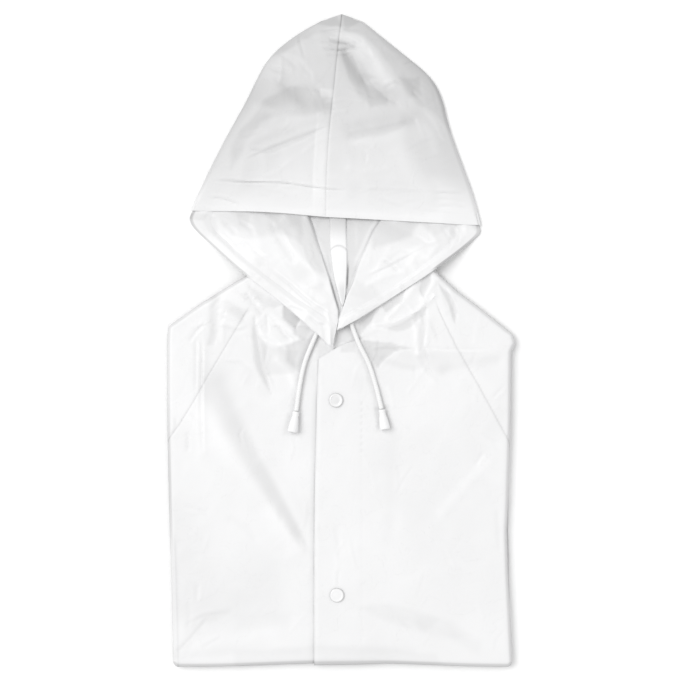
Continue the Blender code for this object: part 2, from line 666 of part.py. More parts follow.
def build_tape(halves, material, collection):
    """The welded tape down the inside of the hood's centre seam, draped on the hood's own faces."""
    bpy.context.view_layer.update()
    walls = [BVHTree.FromObject(half, bpy.context.evaluated_depsgraph_get()) for half in halves]
    rows = []
    for section in TAPE_SECTIONS:
        row = []
        for share in (-1.0, -0.6, -0.2, 0.2, 0.6, 1.0):
            x = section.x + share * section.half_width
            start_z = hood_floor(x, section.y) + 0.6 * HOOD_MOUTH_GAP
            tops = [Vector((x + aside, section.y, start_z)) for aside in (-SEAM_GAP, SEAM_GAP)]
            hits = [wall.ray_cast(top * MM, Vector((0, 0, -1)))[0] for wall in walls for top in tops]
            row.append(Vector((x, section.y, max(hit.z for hit in hits if hit) / MM)))
        rows.append(row)
    strip_solid("hood_tape", rows, TAPE_LIFT, TAPE_WALL, 0.0, material, collection)


# ---------------------------------------------------------------- cords and snaps


def smooth_route(points, step):
    """Points about a step apart on a smooth curve through the given ones."""
    ends = [points[0] * 2 - points[1]] + points + [points[-1] * 2 - points[-2]]
    route = [points[0]]
    for a, b, c, d in zip(ends, ends[1:], ends[2:], ends[3:]):
        count = max(2, round((c - b).length / step))
        for n in range(1, count + 1):
            t = n / count
            bend = (2 * a - 5 * b + 4 * c - d) * t * t + (3 * b - a - 3 * c + d) * t**3
            route.append(b + ((c - a) * t + bend) / 2)
    return route


def build_cord(name, places, material, collection):
    """A drawcord end, lying on the sheet from below the hood down to its moulded end."""
    points = []
    for n, (x, y) in enumerate(places):
        over_flap = FLAP_EDGE[0][0] < x and y < FLAP_TOP_Y
        rise = FLAP_RISE * (1.0 - smooth((x - FLAP_WELD_X) / FLAP_RAMP)) if over_flap else 0.0
        up = CORD_REST + CORD_RADIUS + (BELL_MOUTH_RADIUS - CORD_RADIUS) * (n == len(places) - 1)
        points.append(Vector((x, y, sheet_top(x, y, rise) + up)))
    curve = bpy.data.curves.new(name, "CURVE")
    curve.dimensions = "3D"
    curve.bevel_depth = CORD_RADIUS * MM
    curve.bevel_resolution = 2
    curve.use_fill_caps = True
    route = smooth_route(points, CORD_STEP)
    spline = curve.splines.new("POLY")
    spline.points.add(len(route) - 1)
    for point, place in zip(spline.points, route):
        point.co = (*(place * MM), 1.0)
    curve.materials.append(material)
    collection.objects.link(bpy.data.objects.new(name, curve))


def turned(name, profile, steps, material, collection):
    """A solid turned about Z from (radius, height) pairs, top to bottom."""
    mesh = bpy.data.meshes.new(name)
    points = [(radius * MM, 0.0, height * MM) for radius, height in profile]
    mesh.from_pydata(points, [(n, n + 1) for n in range(len(points) - 1)], [])
    piece = add_object(name, mesh, material, collection)
    screw = piece.modifiers.new("Turn", "SCREW")
    screw.steps = screw.render_steps = steps
    screw.use_merge_vertices = True
    screw.merge_threshold = 0.00001
    return piece


def build_bell(end, material, collection):
    """The moulded end of a drawcord: a bell that lies on its side, its mouth round the cord."""
    length = math.hypot(end.x1 - end.x0, end.y1 - end.y0)
    profile = (
        (0.0, 0.0),
        (BELL_MOUTH_RADIUS - 0.5, 0.0),
        (BELL_MOUTH_RADIUS, -0.6),
        (BELL_MOUTH_RADIUS + 0.1, -4.5),
        (BELL_MOUTH_RADIUS + 0.9, -8.0),
        (BELL_FOOT_RADIUS - 0.3, -12.5),
        (BELL_FOOT_RADIUS, 1.0 - length),
        (BELL_FOOT_RADIUS - 0.7, -length),
        (0.0, -length),
    )
    bell = turned("cord_end_" + end.side, profile, 16, material, collection)
    mouth = Vector((end.x0, end.y0, sheet_top(end.x0, end.y0) + CORD_REST + BELL_MOUTH_RADIUS + 0.3))
    foot = Vector((end.x1, end.y1, sheet_top(end.x1, end.y1) + CORD_REST + BELL_FOOT_RADIUS + 0.3))
    bell.location = mouth * MM
    bell.rotation_euler = (mouth - foot).to_track_quat("Z", "Y").to_euler()


def build_snap(place, x, y, material, collection):
    """A snap's round cap on the closing flap, with a raised rim round a dished middle."""
    profile = (
        (0.0, SNAP_HEIGHT - 0.7),
        (SNAP_RADIUS * 0.45, SNAP_HEIGHT - 0.6),
        (SNAP_RADIUS * 0.66, SNAP_HEIGHT - 0.1),
        (SNAP_RADIUS * 0.8, SNAP_HEIGHT),
        (SNAP_RADIUS * 0.95, SNAP_HEIGHT - 0.5),
        (SNAP_RADIUS, SNAP_HEIGHT * 0.4),
        (SNAP_RADIUS * 0.93, 0.0),
        (0.0, 0.0),
    )
    snap = turned("snap_cap_" + place, profile, 20, material, collection)
    snap.location = Vector((x, y, sheet_top(x, y, FLAP_RISE) + LAYER_GAP)) * MM


def main():
    """Clears the scene and builds the jacket."""
    for old in list(bpy.data.objects):
        bpy.data.objects.remove(old)
    jacket = bpy.data.collections.new("rain_jacket")
    cutters = bpy.data.collections.new("cutters")
    for collection in (jacket, cutters):
        bpy.context.scene.collection.children.link(collection)

    vinyl = material_of("white_vinyl", (0.86, 0.86, 0.87), 0.42)
    hidden = material_of("folded_vinyl", (0.82, 0.82, 0.83), 0.5)
    tape = material_of("seam_tape", (0.9, 0.9, 0.91), 0.35)
    cord = material_of("white_cord", (0.88, 0.88, 0.88), 0.8)
    plastic = material_of("white_plastic", (0.9, 0.9, 0.9), 0.25)

    build_layers(hidden, jacket)
    build_sheet(vinyl, jacket, cutters)
    halves = [build_hood_half(side, vinyl, jacket) for side in ("right", "left")]
    for side in ("right", "left"):
        build_casing(side, vinyl, jacket)
    build_tape(halves, tape, jacket)
    build_cord("drawcord_right", CORD_RIGHT, cord, jacket)
    build_cord("drawcord_left", CORD_LEFT, cord, jacket)
    for end in BELL_ENDS:
        build_bell(end, plastic, jacket)
    for place, x, y in SNAP_CENTRES:
        build_snap(place, x, y, plastic, jacket)


main()
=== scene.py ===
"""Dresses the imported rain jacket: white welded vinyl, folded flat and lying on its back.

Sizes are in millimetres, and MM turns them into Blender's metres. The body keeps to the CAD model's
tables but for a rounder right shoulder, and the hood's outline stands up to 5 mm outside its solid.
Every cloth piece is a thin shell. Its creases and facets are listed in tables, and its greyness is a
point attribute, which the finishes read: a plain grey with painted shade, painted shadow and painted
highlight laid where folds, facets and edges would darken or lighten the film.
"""

import logging
import math
from collections.abc import Sequence
from dataclasses import dataclass, field
from enum import Enum

import bpy
import numpy as np
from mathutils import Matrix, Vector


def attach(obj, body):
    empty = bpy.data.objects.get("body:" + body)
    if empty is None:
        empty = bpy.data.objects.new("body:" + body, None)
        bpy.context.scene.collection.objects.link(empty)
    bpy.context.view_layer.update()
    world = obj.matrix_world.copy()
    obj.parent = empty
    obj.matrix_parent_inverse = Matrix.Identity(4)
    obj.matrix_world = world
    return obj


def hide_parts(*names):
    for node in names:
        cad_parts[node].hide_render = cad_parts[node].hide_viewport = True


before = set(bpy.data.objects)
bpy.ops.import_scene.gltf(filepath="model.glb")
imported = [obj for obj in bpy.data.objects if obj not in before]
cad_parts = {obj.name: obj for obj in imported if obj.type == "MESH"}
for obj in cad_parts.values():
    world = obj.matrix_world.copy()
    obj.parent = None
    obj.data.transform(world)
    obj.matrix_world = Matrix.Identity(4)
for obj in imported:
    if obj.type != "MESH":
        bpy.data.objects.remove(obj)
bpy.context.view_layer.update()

MM = 0.001
LOG = logging.getLogger("rain_jacket")

Array = np.ndarray
Place = tuple[float, float]
Face = tuple[int, ...]
Piece = bpy.types.Object
Material = bpy.types.Material
Socket = bpy.types.NodeSocket


# ---------------------------------------------------------------- sums that shape and shade


def ramp(value: Array, start: float, end: float) -> Array:
    """An even S from 0 at the start to 1 at the end, which may be the lower of the two."""
    share = np.clip((value - start) / (end - start), 0.0, 1.0)
    return share * share * (3.0 - 2.0 * share)


def band(value: Array, middle: float, half: float) -> Array:
    """1 at the middle, dying away on both sides."""
    return np.exp(-(((value - middle) / half) ** 2))


def near(x: Array, y: Array, places: Sequence[Place], room: float) -> Array:
    """Finds the points beside some places, to spare the sums for all others.

    Args:
        x: Places across.
        y: Places along.
        places: The places.
        room: How far from the box round them still counts.

    Returns:
        True for each point that is near.
    """
    xs, ys = zip(*places)
    across = (x > min(xs) - room) & (x < max(xs) + room)
    return across & (y > min(ys) - room) & (y < max(ys) + room)


def from_stretch(x: Array, y: Array, start: Place, end: Place) -> tuple[Array, Array]:
    """Where points lie beside a straight stretch.

    Args:
        x: Places across.
        y: Places along.
        start: One end of the stretch.
        end: The other.

    Returns:
        The nearest share of the stretch, and the distance from it.
    """
    (x0, y0), (dx, dy) = start, (end[0] - start[0], end[1] - start[1])
    share = np.clip(((x - x0) * dx + (y - y0) * dy) / (dx * dx + dy * dy), 0.0, 1.0)
    return share, np.hypot(x - x0 - share * dx, y - y0 - share * dy)


def from_line(x: Array, y: Array, line: Sequence[Place]) -> tuple[Array, Array, Array]:
    """Where points lie beside a line of places.

    Args:
        x: Places across.
        y: Places along.
        line: The line.

    Returns:
        The share of its length, the distance from it, and 1 on its left or -1 on its right.
    """
    share, best, side = np.zeros(x.shape), np.full(x.shape, np.inf), np.ones(x.shape)
    total, run = sum(math.dist(a, b) for a, b in zip(line, line[1:])), 0.0
    for start, end in zip(line, line[1:]):
        length = math.dist(start, end)
        part, away = from_stretch(x, y, start, end)
        turn = (end[0] - start[0]) * (y - start[1]) - (end[1] - start[1]) * (x - start[0])
        nearer = away < best
        best = np.where(nearer, away, best)
        share = np.where(nearer, (run + part * length) / total, share)
        side = np.where(nearer, np.where(turn < 0, -1.0, 1.0), side)
        run += length
    return share, best, side


def signed_distance(x: Array, y: Array, corners: Sequence[Place]) -> Array:
    """Distance to a closed outline, above zero inside it.

    Args:
        x: Places across.
        y: Places along.
        corners: The outline.

    Returns:
        The distance at each point.
    """
    best, inside = np.full(x.shape, np.inf), np.zeros(x.shape, bool)
    for (x0, y0), (x1, y1) in zip(corners, [*corners[1:], corners[0]]):
        best = np.minimum(best, from_stretch(x, y, (x0, y0), (x1, y1))[1])
        if y0 != y1:
            inside ^= ((y0 > y) != (y1 > y)) & (x < (x1 - x0) * (y - y0) / (y1 - y0) + x0)
    return np.where(inside, best, -best)


def curve_through(rows: Array, at: Array) -> Array:
    """Smooth curves through the rows of a table.

    Args:
        rows: The table.
        at: Fractional row numbers.

    Returns:
        A row of values for each.
    """
    padded = np.vstack([2 * rows[0] - rows[1], rows, 2 * rows[-1] - rows[-2]])
    low = np.clip(np.floor(at).astype(int), 0, len(rows) - 2)
    t = (at - low)[:, None]
    a, b, c, d = (padded[low + k] for k in range(4))
    return b + ((c - a) * t + (2 * a - 5 * b + 4 * c - d) * t**2 + (3 * b - a - 3 * c + d) * t**3) / 2


def parted(low: float, high: float, step: float) -> Array:
    """Values from low to high, no more than a step apart."""
    return np.linspace(low, high, math.ceil((high - low) / step) + 1)


def between(ends: Array, share: Array) -> tuple[Array, Array]:
    """Places on straight rows.

    Args:
        ends: The x and y of each row's start, then of its end.
        share: How far along each row the places are.

    Returns:
        The places' x, and their y.
    """
    x = ends[:, 0:1] + (ends[:, 2:3] - ends[:, 0:1]) * share
    y = ends[:, 1:2] + (ends[:, 3:4] - ends[:, 1:2]) * share
    return x, y


# ---------------------------------------------------------------- creases, waves and hollows


class CreaseKind(Enum):
    """How the cloth stands beside a crease's line."""

    SOFT = "a round roll, or a trough where its rise is below zero"
    SHARP = "a thin furrow with a lip beside it"
    LAP = "steep at the line, then long and flat on its left side"


@dataclass(frozen=True)
class Crease:
    """One crease along a line of places.

    Attributes:
        line: Places on the cloth.
        width: Half the width of the roll, furrow or steep side.
        rise: Height of the roll, or depth of the furrow.
        kind: The shape of its section.
        spread: How far a lap takes to die out.
        fade: The share of its length over which a furrow or lap dies out at each end.
    """

    line: tuple[Place, ...]
    width: float
    rise: float
    kind: CreaseKind
    spread: float = 0.0
    fade: float = 0.22

    def add_to(self, height: Array, x: Array, y: Array) -> None:
        """Adds the crease to the heights of the points that it reaches.

        Args:
            height: Heights of the points, changed in place.
            x: Places across.
            y: Places along.
        """
        is_lap = self.kind is CreaseKind.LAP
        reached = near(x, y, self.line, self.spread if is_lap else 3.2 * self.width)
        if not reached.any():
            return
        share, away, side = from_line(x[reached], y[reached], self.line)
        ends = ramp(share, 0.0, self.fade) * ramp(share, 1.0, 1.0 - self.fade)
        shape = band(away, 0.0, self.width)
        if self.kind is CreaseKind.SHARP:
            lip = band(away * side, 1.7 * self.width, 1.1 * self.width)
            shape = ends * (0.6 * lip - shape)
        elif is_lap:
            shape = ends * ramp(away / np.where(side > 0, self.spread, self.width), 1.0, 0.0)
        height[reached] += self.rise * shape


def roll(width: float, rise: float, *line: Place) -> Crease:
    """A soft roll, or a trough where its rise is below zero."""
    return Crease(line, width, rise, CreaseKind.SOFT)


def furrow(width: float, depth: float, *line: Place) -> Crease:
    """A thin furrow with a lip beside it."""
    return Crease(line, width, depth, CreaseKind.SHARP)


def lap(width: float, rise: float, spread: float, *line: Place) -> Crease:
    """A lap that is steep at its line and flat on its left side."""
    return Crease(line, width, rise, CreaseKind.LAP, spread)


@dataclass(frozen=True)
class Crumple:
    """Uneven waves of cloth that was folded away: smooth, or in facets that meet along lines."""

    seed: int
    cell: float
    rise: float
    facets: bool = False
    knots: int = 64

    def height(self, x: Array, y: Array) -> Array:
        """The waves' height.

        Args:
            x: Places across.
            y: Places along.

        Returns:
            The height at each point, between -rise and rise.
        """
        n = self.knots
        knots = np.random.default_rng(self.seed).uniform(-1.0, 1.0, (n, n))
        turn, above_zero = 0.6 + self.seed, 400.0
        across = (x * math.cos(turn) + y * math.sin(turn)) / self.cell + above_zero
        along = (y * math.cos(turn) - x * math.sin(turn)) / self.cell + above_zero
        i, j = np.floor(across).astype(int), np.floor(along).astype(int)
        u, v = ramp(across - i, 0.0, 1.0), ramp(along - j, 0.0, 1.0)
        low, high = (knots[i % n, k % n] * (1 - u) + knots[(i + 1) % n, k % n] * u for k in (j, j + 1))
        wave = low * (1 - v) + high * v
        return self.rise * (1.0 - 2.0 * np.abs(wave) if self.facets else wave)


@dataclass(frozen=True)
class Relief:
    """All the creases and waves of one piece of cloth."""

    creases: tuple[Crease, ...]
    crumples: tuple[Crumple, ...] = ()

    def height(self, x: Array, y: Array) -> Array:
        """The relief's height.

        Args:
            x: Places across.
            y: Places along.

        Returns:
            The height at each point.
        """
        total = np.zeros(x.shape)
        for crumple in self.crumples:
            total += crumple.height(x, y)
        for crease in self.creases:
            crease.add_to(total, x, y)
        return total


@dataclass(frozen=True)
class PaintedFacet:
    """A shallow facet of the film: a dent by its depth, with painted shade laid on it.

    Attributes:
        depth: How far it is dented.
        tone: The painted shade on it, or painted highlight below zero.
        soft: Width of its soft edge.
        corners: Its outline.
        wander: How unevenly the outline runs, across and along.
    """

    depth: float
    tone: float
    soft: float
    corners: tuple[Place, ...]
    wander: tuple[Crumple, Crumple] = (Crumple(91, 12.0, 1.4), Crumple(92, 12.0, 1.4))

    def share(self, x: Array, y: Array) -> Array:
        """How much of the facet each point has.

        Args:
            x: Places across.
            y: Places along.

        Returns:
            1 in the facet, falling to 0 across its soft edge.
        """
        share = np.zeros(x.shape)
        reached = near(x, y, self.corners, self.soft + 2.0)
        if reached.any():
            x, y = x[reached], y[reached]
            u, v = x + self.wander[0].height(x, y), y + self.wander[1].height(x, y)
            share[reached] = ramp(signed_distance(u, v, self.corners), -self.soft / 2, self.soft / 2)
        return share


def painted_facet(depth: float, tone: float, soft: float, *corners: Place) -> PaintedFacet:
    """A facet by its dent's depth, its painted shade, the width of its soft edge and its corners."""
    return PaintedFacet(depth, tone, soft, corners)


def facet_dent_and_shade(painted_facets: tuple[PaintedFacet, ...], x: Array, y: Array) -> tuple[Array, Array]:
    """What a set of facets does to the cloth: its dents and its painted shade.

    Args:
        painted_facets: The facets.
        x: Places across.
        y: Places along.

    Returns:
        The dent at each point, and its painted shade.
    """
    dent, tone = np.zeros(x.shape), np.zeros(x.shape)
    for each in painted_facets:
        share = each.share(x, y)
        dent += each.depth * share
        tone += each.tone * share
    return dent, tone


def small_creases(
    seed: int, count: int, low: Place, high: Place, rise: float, lean: float
) -> tuple[Crease, ...]:
    """Short thin creases strewn unevenly over a box, as vinyl keeps from its packing.

    Args:
        seed: Picks the pattern.
        count: How many.
        low: The box's lowest corner.
        high: Its highest corner.
        rise: The deepest one's depth.
        lean: The direction that most of them take, in degrees from +X.

    Returns:
        The creases.
    """
    rng = np.random.default_rng(seed)
    made = []
    for _ in range(count):
        x, y = rng.uniform(low, high)
        turn = math.radians(lean + rng.normal(0.0, 34.0))
        half, bend = rng.uniform(4.0, 19.0), rng.normal(0.0, 0.16)
        ahead_x, ahead_y = math.cos(turn) * half, math.sin(turn) * half
        middle = (x - ahead_y * bend, y + ahead_x * bend)
        line = ((x - ahead_x, y - ahead_y), middle, (x + ahead_x, y + ahead_y))
        kind = CreaseKind.SHARP if rng.random() < 0.6 else CreaseKind.SOFT
        made.append(Crease(line, rng.uniform(0.9, 2.2), rise * rng.uniform(0.35, 1.0), kind))
    return tuple(made)


# ---------------------------------------------------------------- finishes


def grey(value: float, blue: float = 1.0) -> tuple[float, float, float, float]:
    """A grey, with its blue a little stronger or weaker."""
    return (value, value, value * blue, 1.0)


class Nodes:
    """Shorthand for building a material's node tree."""

    def __init__(self, name: str) -> None:
        """Starts a material with its Principled shader.

        Args:
            name: The material's name.
        """
        self.material = bpy.data.materials.new(name)
        self.material.use_nodes = True
        self.tree = self.material.node_tree
        self.shader = self.tree.nodes["Principled BSDF"]

    def fill(self, socket: Socket, value: object) -> None:
        """Joins a socket to another node's output, or sets it to a plain value.

        Args:
            socket: The input.
            value: The output or the value.
        """
        if isinstance(value, Socket):
            self.tree.links.new(value, socket)
        else:
            socket.default_value = value

    def add(self, kind: str, inputs: dict | None = None, **settings: object) -> bpy.types.Node:
        """Adds one node.

        Args:
            kind: The node's type, without its ShaderNode prefix.
            inputs: Its sockets, each set to a value or joined to another node's output.
            **settings: Its other properties.

        Returns:
            The node.
        """
        node = self.tree.nodes.new("ShaderNode" + kind)
        for key, value in settings.items():
            setattr(node, key, value)
        for key, value in (inputs or {}).items():
            self.fill(node.inputs[key], value)
        return node

    def place(self) -> Socket:
        """The place on the object."""
        return self.add("TexCoord").outputs["Object"]

    def tone(self) -> Socket:
        """The piece's greyness attribute: its plain grey with painted shade."""
        return self.add("Attribute", attribute_name="tone").outputs["Fac"]

    def math(self, operation: str, first: object, second: object = 0.0) -> Socket:
        """The result of one sum on two values or sockets."""
        return self.add("Math", {0: first, 1: second}, operation=operation).outputs[0]

    def times(self, first: object, second: object) -> Socket:
        """The product of two values or sockets."""
        return self.math("MULTIPLY", first, second)

    def plus(self, first: object, second: object) -> Socket:
        """The sum of two values or sockets."""
        return self.math("ADD", first, second)

    def noise(self, scale: float, detail: float, vector: Socket) -> Socket:
        """The value of a noise with waves of 1/scale metres."""
        inputs = {"Vector": vector, "Scale": scale, "Detail": detail, "Roughness": 0.55}
        return self.add("TexNoise", inputs).outputs["Fac"]

    def spread(self, value: Socket, low: float, high: float) -> Socket:
        """A 0 to 1 value stretched to a range."""
        return self.add("MapRange", {"Value": value, "To Min": low, "To Max": high}).outputs[0]

    def mixed(self, share: object, first: object, second: object) -> Socket:
        """Two colours mixed by a share."""
        return self.add("Mix", {0: share, 6: first, 7: second}, data_type="RGBA").outputs[2]

    def finish(self, colour: object, rough: object, height: object, **fixed: float) -> Material:
        """Joins the shader's inputs.

        Args:
            colour: The base colour.
            rough: The roughness.
            height: The bump's height in millimetres.
            **fixed: Values set straight on the shader's sockets, with _ for a space.

        Returns:
            The material.
        """
        bump = self.add("Bump", {"Height": height, "Distance": MM, "Strength": 1.0})
        joined = {"Normal": bump.outputs["Normal"], "Base Color": colour, "Roughness": rough}
        for key, value in {**joined, **fixed}.items():
            self.fill(self.shader.inputs[key.replace("_", " ")], value)
        return self.material


@dataclass(frozen=True)
class Vinyl:
    """Soft white vinyl film: glossy, finely grained, lightly crackled where it was folded.

    Attributes:
        name: The material's name.
        bright: Its plain base value, where a piece has no painted shade.
        shade: Its painted shade, the base value where a piece's greyness is 1.
        crevice_shadow: Its painted shadow, the base value where the greyness is 2, in a fold's crevice.
        crackle: Depth of the folding creases.
        grain: Depth of the film's grain.
        ripple: Height of its small waves.
        rough: Its middle roughness.
    """

    name: str
    bright: float = 0.83
    shade: float = 0.55
    crevice_shadow: float = 0.10
    crackle: float = 0.06
    grain: float = 0.012
    ripple: float = 0.16
    rough: float = 0.46

    def material(self) -> Material:
        """Builds the material.

        Returns:
            The material.
        """
        nodes = Nodes(self.name)
        place, tone = nodes.place(), nodes.tone()
        cloud = nodes.noise(26.0, 4.0, place)
        wander = nodes.add("TexNoise", {"Vector": place, "Scale": 34.0}).outputs["Color"]
        warped = nodes.add("Mix", {0: 0.012, 4: place, 5: wander}, data_type="VECTOR").outputs[1]
        cells = nodes.add("TexVoronoi", {"Vector": warped, "Scale": 44.0}, feature="DISTANCE_TO_EDGE")
        line = nodes.math("MINIMUM", nodes.times(cells.outputs["Distance"], 14.0), 1.0)
        crackled = nodes.times(line, nodes.math("GREATER_THAN", cloud, 0.52))
        grain = nodes.times(nodes.noise(1500.0, 2.0, place), self.grain)
        ripple = nodes.times(nodes.noise(120.0, 3.0, place), self.ripple)
        height = nodes.plus(nodes.plus(nodes.times(crackled, self.crackle), grain), ripple)
        # painted shade: the greyness turns the colour from bright to shade, and above 1 on to painted shadow
        shade = grey(self.shade, 1.005)
        with_painted_shade = nodes.mixed(nodes.math("MINIMUM", tone, 1.0), grey(self.bright, 1.005), shade)
        painted_shadow_share = nodes.math("MAXIMUM", nodes.math("SUBTRACT", tone, 1.0), 0.0)
        base = nodes.mixed(painted_shadow_share, with_painted_shade, grey(self.crevice_shadow))
        mottled = nodes.mixed(nodes.spread(cloud, 0.0, 0.08), base, shade)
        rough = nodes.spread(cloud, self.rough - 0.08, self.rough + 0.08)
        gloss = {"Specular_IOR_Level": 0.35, "Coat_Weight": 0.1, "Coat_Roughness": 0.3}
        return nodes.finish(mottled, rough, height, **gloss)


@dataclass(frozen=True)
class Braid:
    """Soft braided cord, read from the cord's own UV map: U round it, V along it in millimetres."""

    name: str = "white_cord"
    value: float = 0.93
    pick: float = 1.7
    strands: float = 8.0
    weave: float = 0.22
    fuzz: float = 0.05

    def material(self) -> Material:
        """Builds the material.

        Returns:
            The material.
        """
        nodes = Nodes(self.name)
        split = nodes.add("SeparateXYZ", {0: nodes.add("UVMap", uv_map="UVMap").outputs[0]})
        round_it = nodes.times(split.outputs[0], self.strands * math.tau)
        along = nodes.times(split.outputs[1], math.pi / self.pick)
        one = nodes.math("SINE", nodes.plus(round_it, along))
        other = nodes.math("SINE", nodes.math("SUBTRACT", round_it, along))
        lifted = nodes.plus(nodes.times(nodes.times(one, other), 0.5), 0.5)
        thread = nodes.noise(1800.0, 3.0, nodes.place())
        height = nodes.plus(nodes.times(lifted, self.weave), nodes.times(thread, self.fuzz))
        # painted shade: the braid is darker between its lifted strands, where the weave's grooves lie
        base = nodes.mixed(lifted, grey(self.value * 0.84), grey(self.value))
        return nodes.finish(base, nodes.spread(thread, 0.68, 0.88), height, Sheen_Weight=0.3)


@dataclass(frozen=True)
class MouldedPlastic:
    """Glossy moulded plastic with a faint flow texture, and painted shade where a piece's greyness is 1."""

    name: str = "white_plastic"
    value: float = 0.88
    shade: float = 0.5
    rough: float = 0.2

    def material(self) -> Material:
        """Builds the material.

        Returns:
            The material.
        """
        nodes = Nodes(self.name)
        flow = nodes.noise(240.0, 3.0, nodes.place())
        darker = (self.value * 0.93, self.value * 0.93, self.value * 0.94, 1.0)
        base = nodes.mixed(nodes.tone(), nodes.mixed(flow, darker, grey(self.value)), grey(self.shade))
        rough = nodes.spread(flow, self.rough - 0.05, self.rough + 0.07)
        return nodes.finish(base, rough, nodes.times(flow, 0.03), Coat_Weight=0.5, Coat_Roughness=0.1)


@dataclass(frozen=True)
class PaperFloor:
    """Plain pale studio paper."""

    name: str = "studio_paper"
    value: float = 0.93
    fleck: float = 0.91

    def material(self) -> Material:
        """Builds the material.

        Returns:
            The material.
        """
        nodes = Nodes(self.name)
        grain = nodes.noise(900.0, 2.0, nodes.place())
        base = nodes.mixed(nodes.spread(grain, 0.0, 0.3), grey(self.value), grey(self.fleck))
        return nodes.finish(base, 0.9, nodes.times(grain, 0.01), Specular_IOR_Level=0.1)


# ---------------------------------------------------------------- meshes


def pick_only(piece: Piece | None = None) -> None:
    """Selects one piece or none, so that an operator acts on it alone.

    Args:
        piece: The piece.
    """
    bpy.ops.object.select_all(action="DESELECT")
    if piece is not None:
        piece.select_set(True)
        bpy.context.view_layer.objects.active = piece


def mesh_object(name: str, points: Array, faces: list[Face], tone: Array | None = None) -> Piece:
    """A smooth object from points in millimetres.

    Args:
        name: The piece's name.
        points: Its points, one row each.
        faces: Corners of each face, as rows of points.
        tone: Plain grey and painted shade for each point, from 0 to 2.

    Returns:
        The new object, selected and active.
    """
    mesh = bpy.data.meshes.new(name)
    mesh.from_pydata((points * MM).tolist(), [], faces)
    # the greyness attribute: a plain grey, with painted shade, painted shadow and painted highlight
    layer = mesh.attributes.new("tone", "FLOAT", "POINT")
    layer.data.foreach_set("value", np.zeros(len(points)) if tone is None else np.clip(tone, 0.0, 2.0))
    mesh.shade_smooth()
    piece = bpy.data.objects.new(name, mesh)
    bpy.context.scene.collection.objects.link(piece)
    pick_only(piece)
    return piece


def stacked(x: Array, y: Array, z: Array) -> Array:
    """Points, one row each, from their places and heights."""
    return np.stack([x, y, z], axis=-1).reshape(-1, 3)


def numbered(grid: Array, start: int = 0) -> Array:
    """Numbers for the points of a grid, row by row."""
    return np.arange(grid.shape[0] * grid.shape[1]).reshape(grid.shape[:2]) + start


def quads_between(rows: Sequence[Array], flip: bool = False) -> list[Face]:
    """Faces between each row of points and the next.

    Args:
        rows: The points' numbers in each row.
        flip: True turns the faces over.

    Returns:
        Four corners for each face.
    """
    faces = []
    for row, after in zip(rows, rows[1:]):
        quads = np.stack([row[:-1], row[1:], after[1:], after[:-1]], axis=1)
        faces += [tuple(quad) for quad in (quads[:, ::-1] if flip else quads).tolist()]
    return faces


def give_wall(piece: Piece, wall: float, offset: float) -> None:
    """Turns an open surface into cloth of a real thickness.

    Args:
        piece: The surface.
        wall: The thickness in millimetres.
        offset: 1 adds it outside the surface, -1 inside.
    """
    pick_only(piece)
    solid = piece.modifiers.new("Wall", "SOLIDIFY")
    solid.thickness = wall * MM
    solid.offset = offset
    solid.use_even_offset = False
    bpy.ops.object.modifier_apply(modifier=solid.name)
    places = np.empty(len(piece.data.vertices) * 3)
    piece.data.vertices.foreach_get("co", places)
    places[2::3] = np.maximum(places[2::3], 0.0)  # pressed flat where it meets the floor
    piece.data.vertices.foreach_set("co", places)
    piece.data.update()
    bpy.ops.object.shade_smooth_by_angle(angle=math.radians(50.0))


def normals_outwards() -> None:
    """Turns all faces of the active closed piece outwards."""
    bpy.ops.object.mode_set(mode="EDIT")
    bpy.ops.mesh.select_all(action="SELECT")
    bpy.ops.mesh.normals_make_consistent(inside=False)
    bpy.ops.object.mode_set(mode="OBJECT")


def dress(piece: Piece, material: Material, node: str) -> Piece:
    """Gives a finished piece its finish and its place in the model.

    Args:
        piece: The piece.
        material: Its finish.
        node: The CAD node that it replaces.

    Returns:
        The piece.
    """
    piece.data.materials.append(material)
    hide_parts(node)
    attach(piece, "root")
    LOG.info("%s: %d points", piece.name, len(piece.data.vertices))
    return piece


def inset_outline(corners: list[Place], distance: float) -> list[Place]:
    """Moves every side of an outline in.

    Args:
        corners: The outline, counter-clockwise.
        distance: How far its sides move.

    Returns:
        The smaller outline.
    """
    points = [Vector(corner) for corner in corners]
    moved = []
    for before, point, after in zip(points[-1:] + points[:-1], points, points[1:] + points[:1]):
        first = (point - before).normalized().orthogonal()
        second = (after - point).normalized().orthogonal()
        moved.append(tuple(point + (first + second) * distance / (1.0 + first.dot(second))))
    return moved


def on_outline(x: Array, y: Array, away: Array, corners: list[Place]) -> tuple[Array, Array, Array]:
    """Moves the grid points beside an outline on to it.

    Args:
        x: Rows of places across.
        y: Rows of places along.
        away: Each point's distance from the outline, above zero inside it.
        corners: The outline.

    Returns:
        The places, x and y in one row each, and True for each that was moved.
    """
    numbers = numbered(x)
    x, y = x.ravel().copy(), y.ravel().copy()
    across = np.column_stack([numbers[:, :-1].ravel(), numbers[:, 1:].ravel()])
    pairs = np.vstack([across, np.column_stack([numbers[:-1].ravel(), numbers[1:].ravel()])])
    crossed = pairs[away[pairs[:, 0]] * away[pairs[:, 1]] < 0]
    start = away[crossed[:, 0]]
    share = start / (start - away[crossed[:, 1]])
    order = np.argsort(-np.abs(share - 0.5))
    moved = np.zeros(len(x), bool)
    x_was, y_was = x.copy(), y.copy()
    for (a, b), t in zip(crossed[order].tolist(), share[order].tolist()):
        if moved[a] or moved[b]:
            continue
        nearest = a if t < 0.5 else b
        x[nearest] = x_was[a] + t * (x_was[b] - x_was[a])
        y[nearest] = y_was[a] + t * (y_was[b] - y_was[a])
        moved[nearest] = True
    on_line = np.flatnonzero(moved)
    for corner in corners:  # a corner takes the nearest point on the outline
        gaps = np.hypot(x[on_line] - corner[0], y[on_line] - corner[1])
        if gaps.min() < 2.5:
            x[on_line[gaps.argmin()]], y[on_line[gaps.argmin()]] = corner
    return x, y, moved


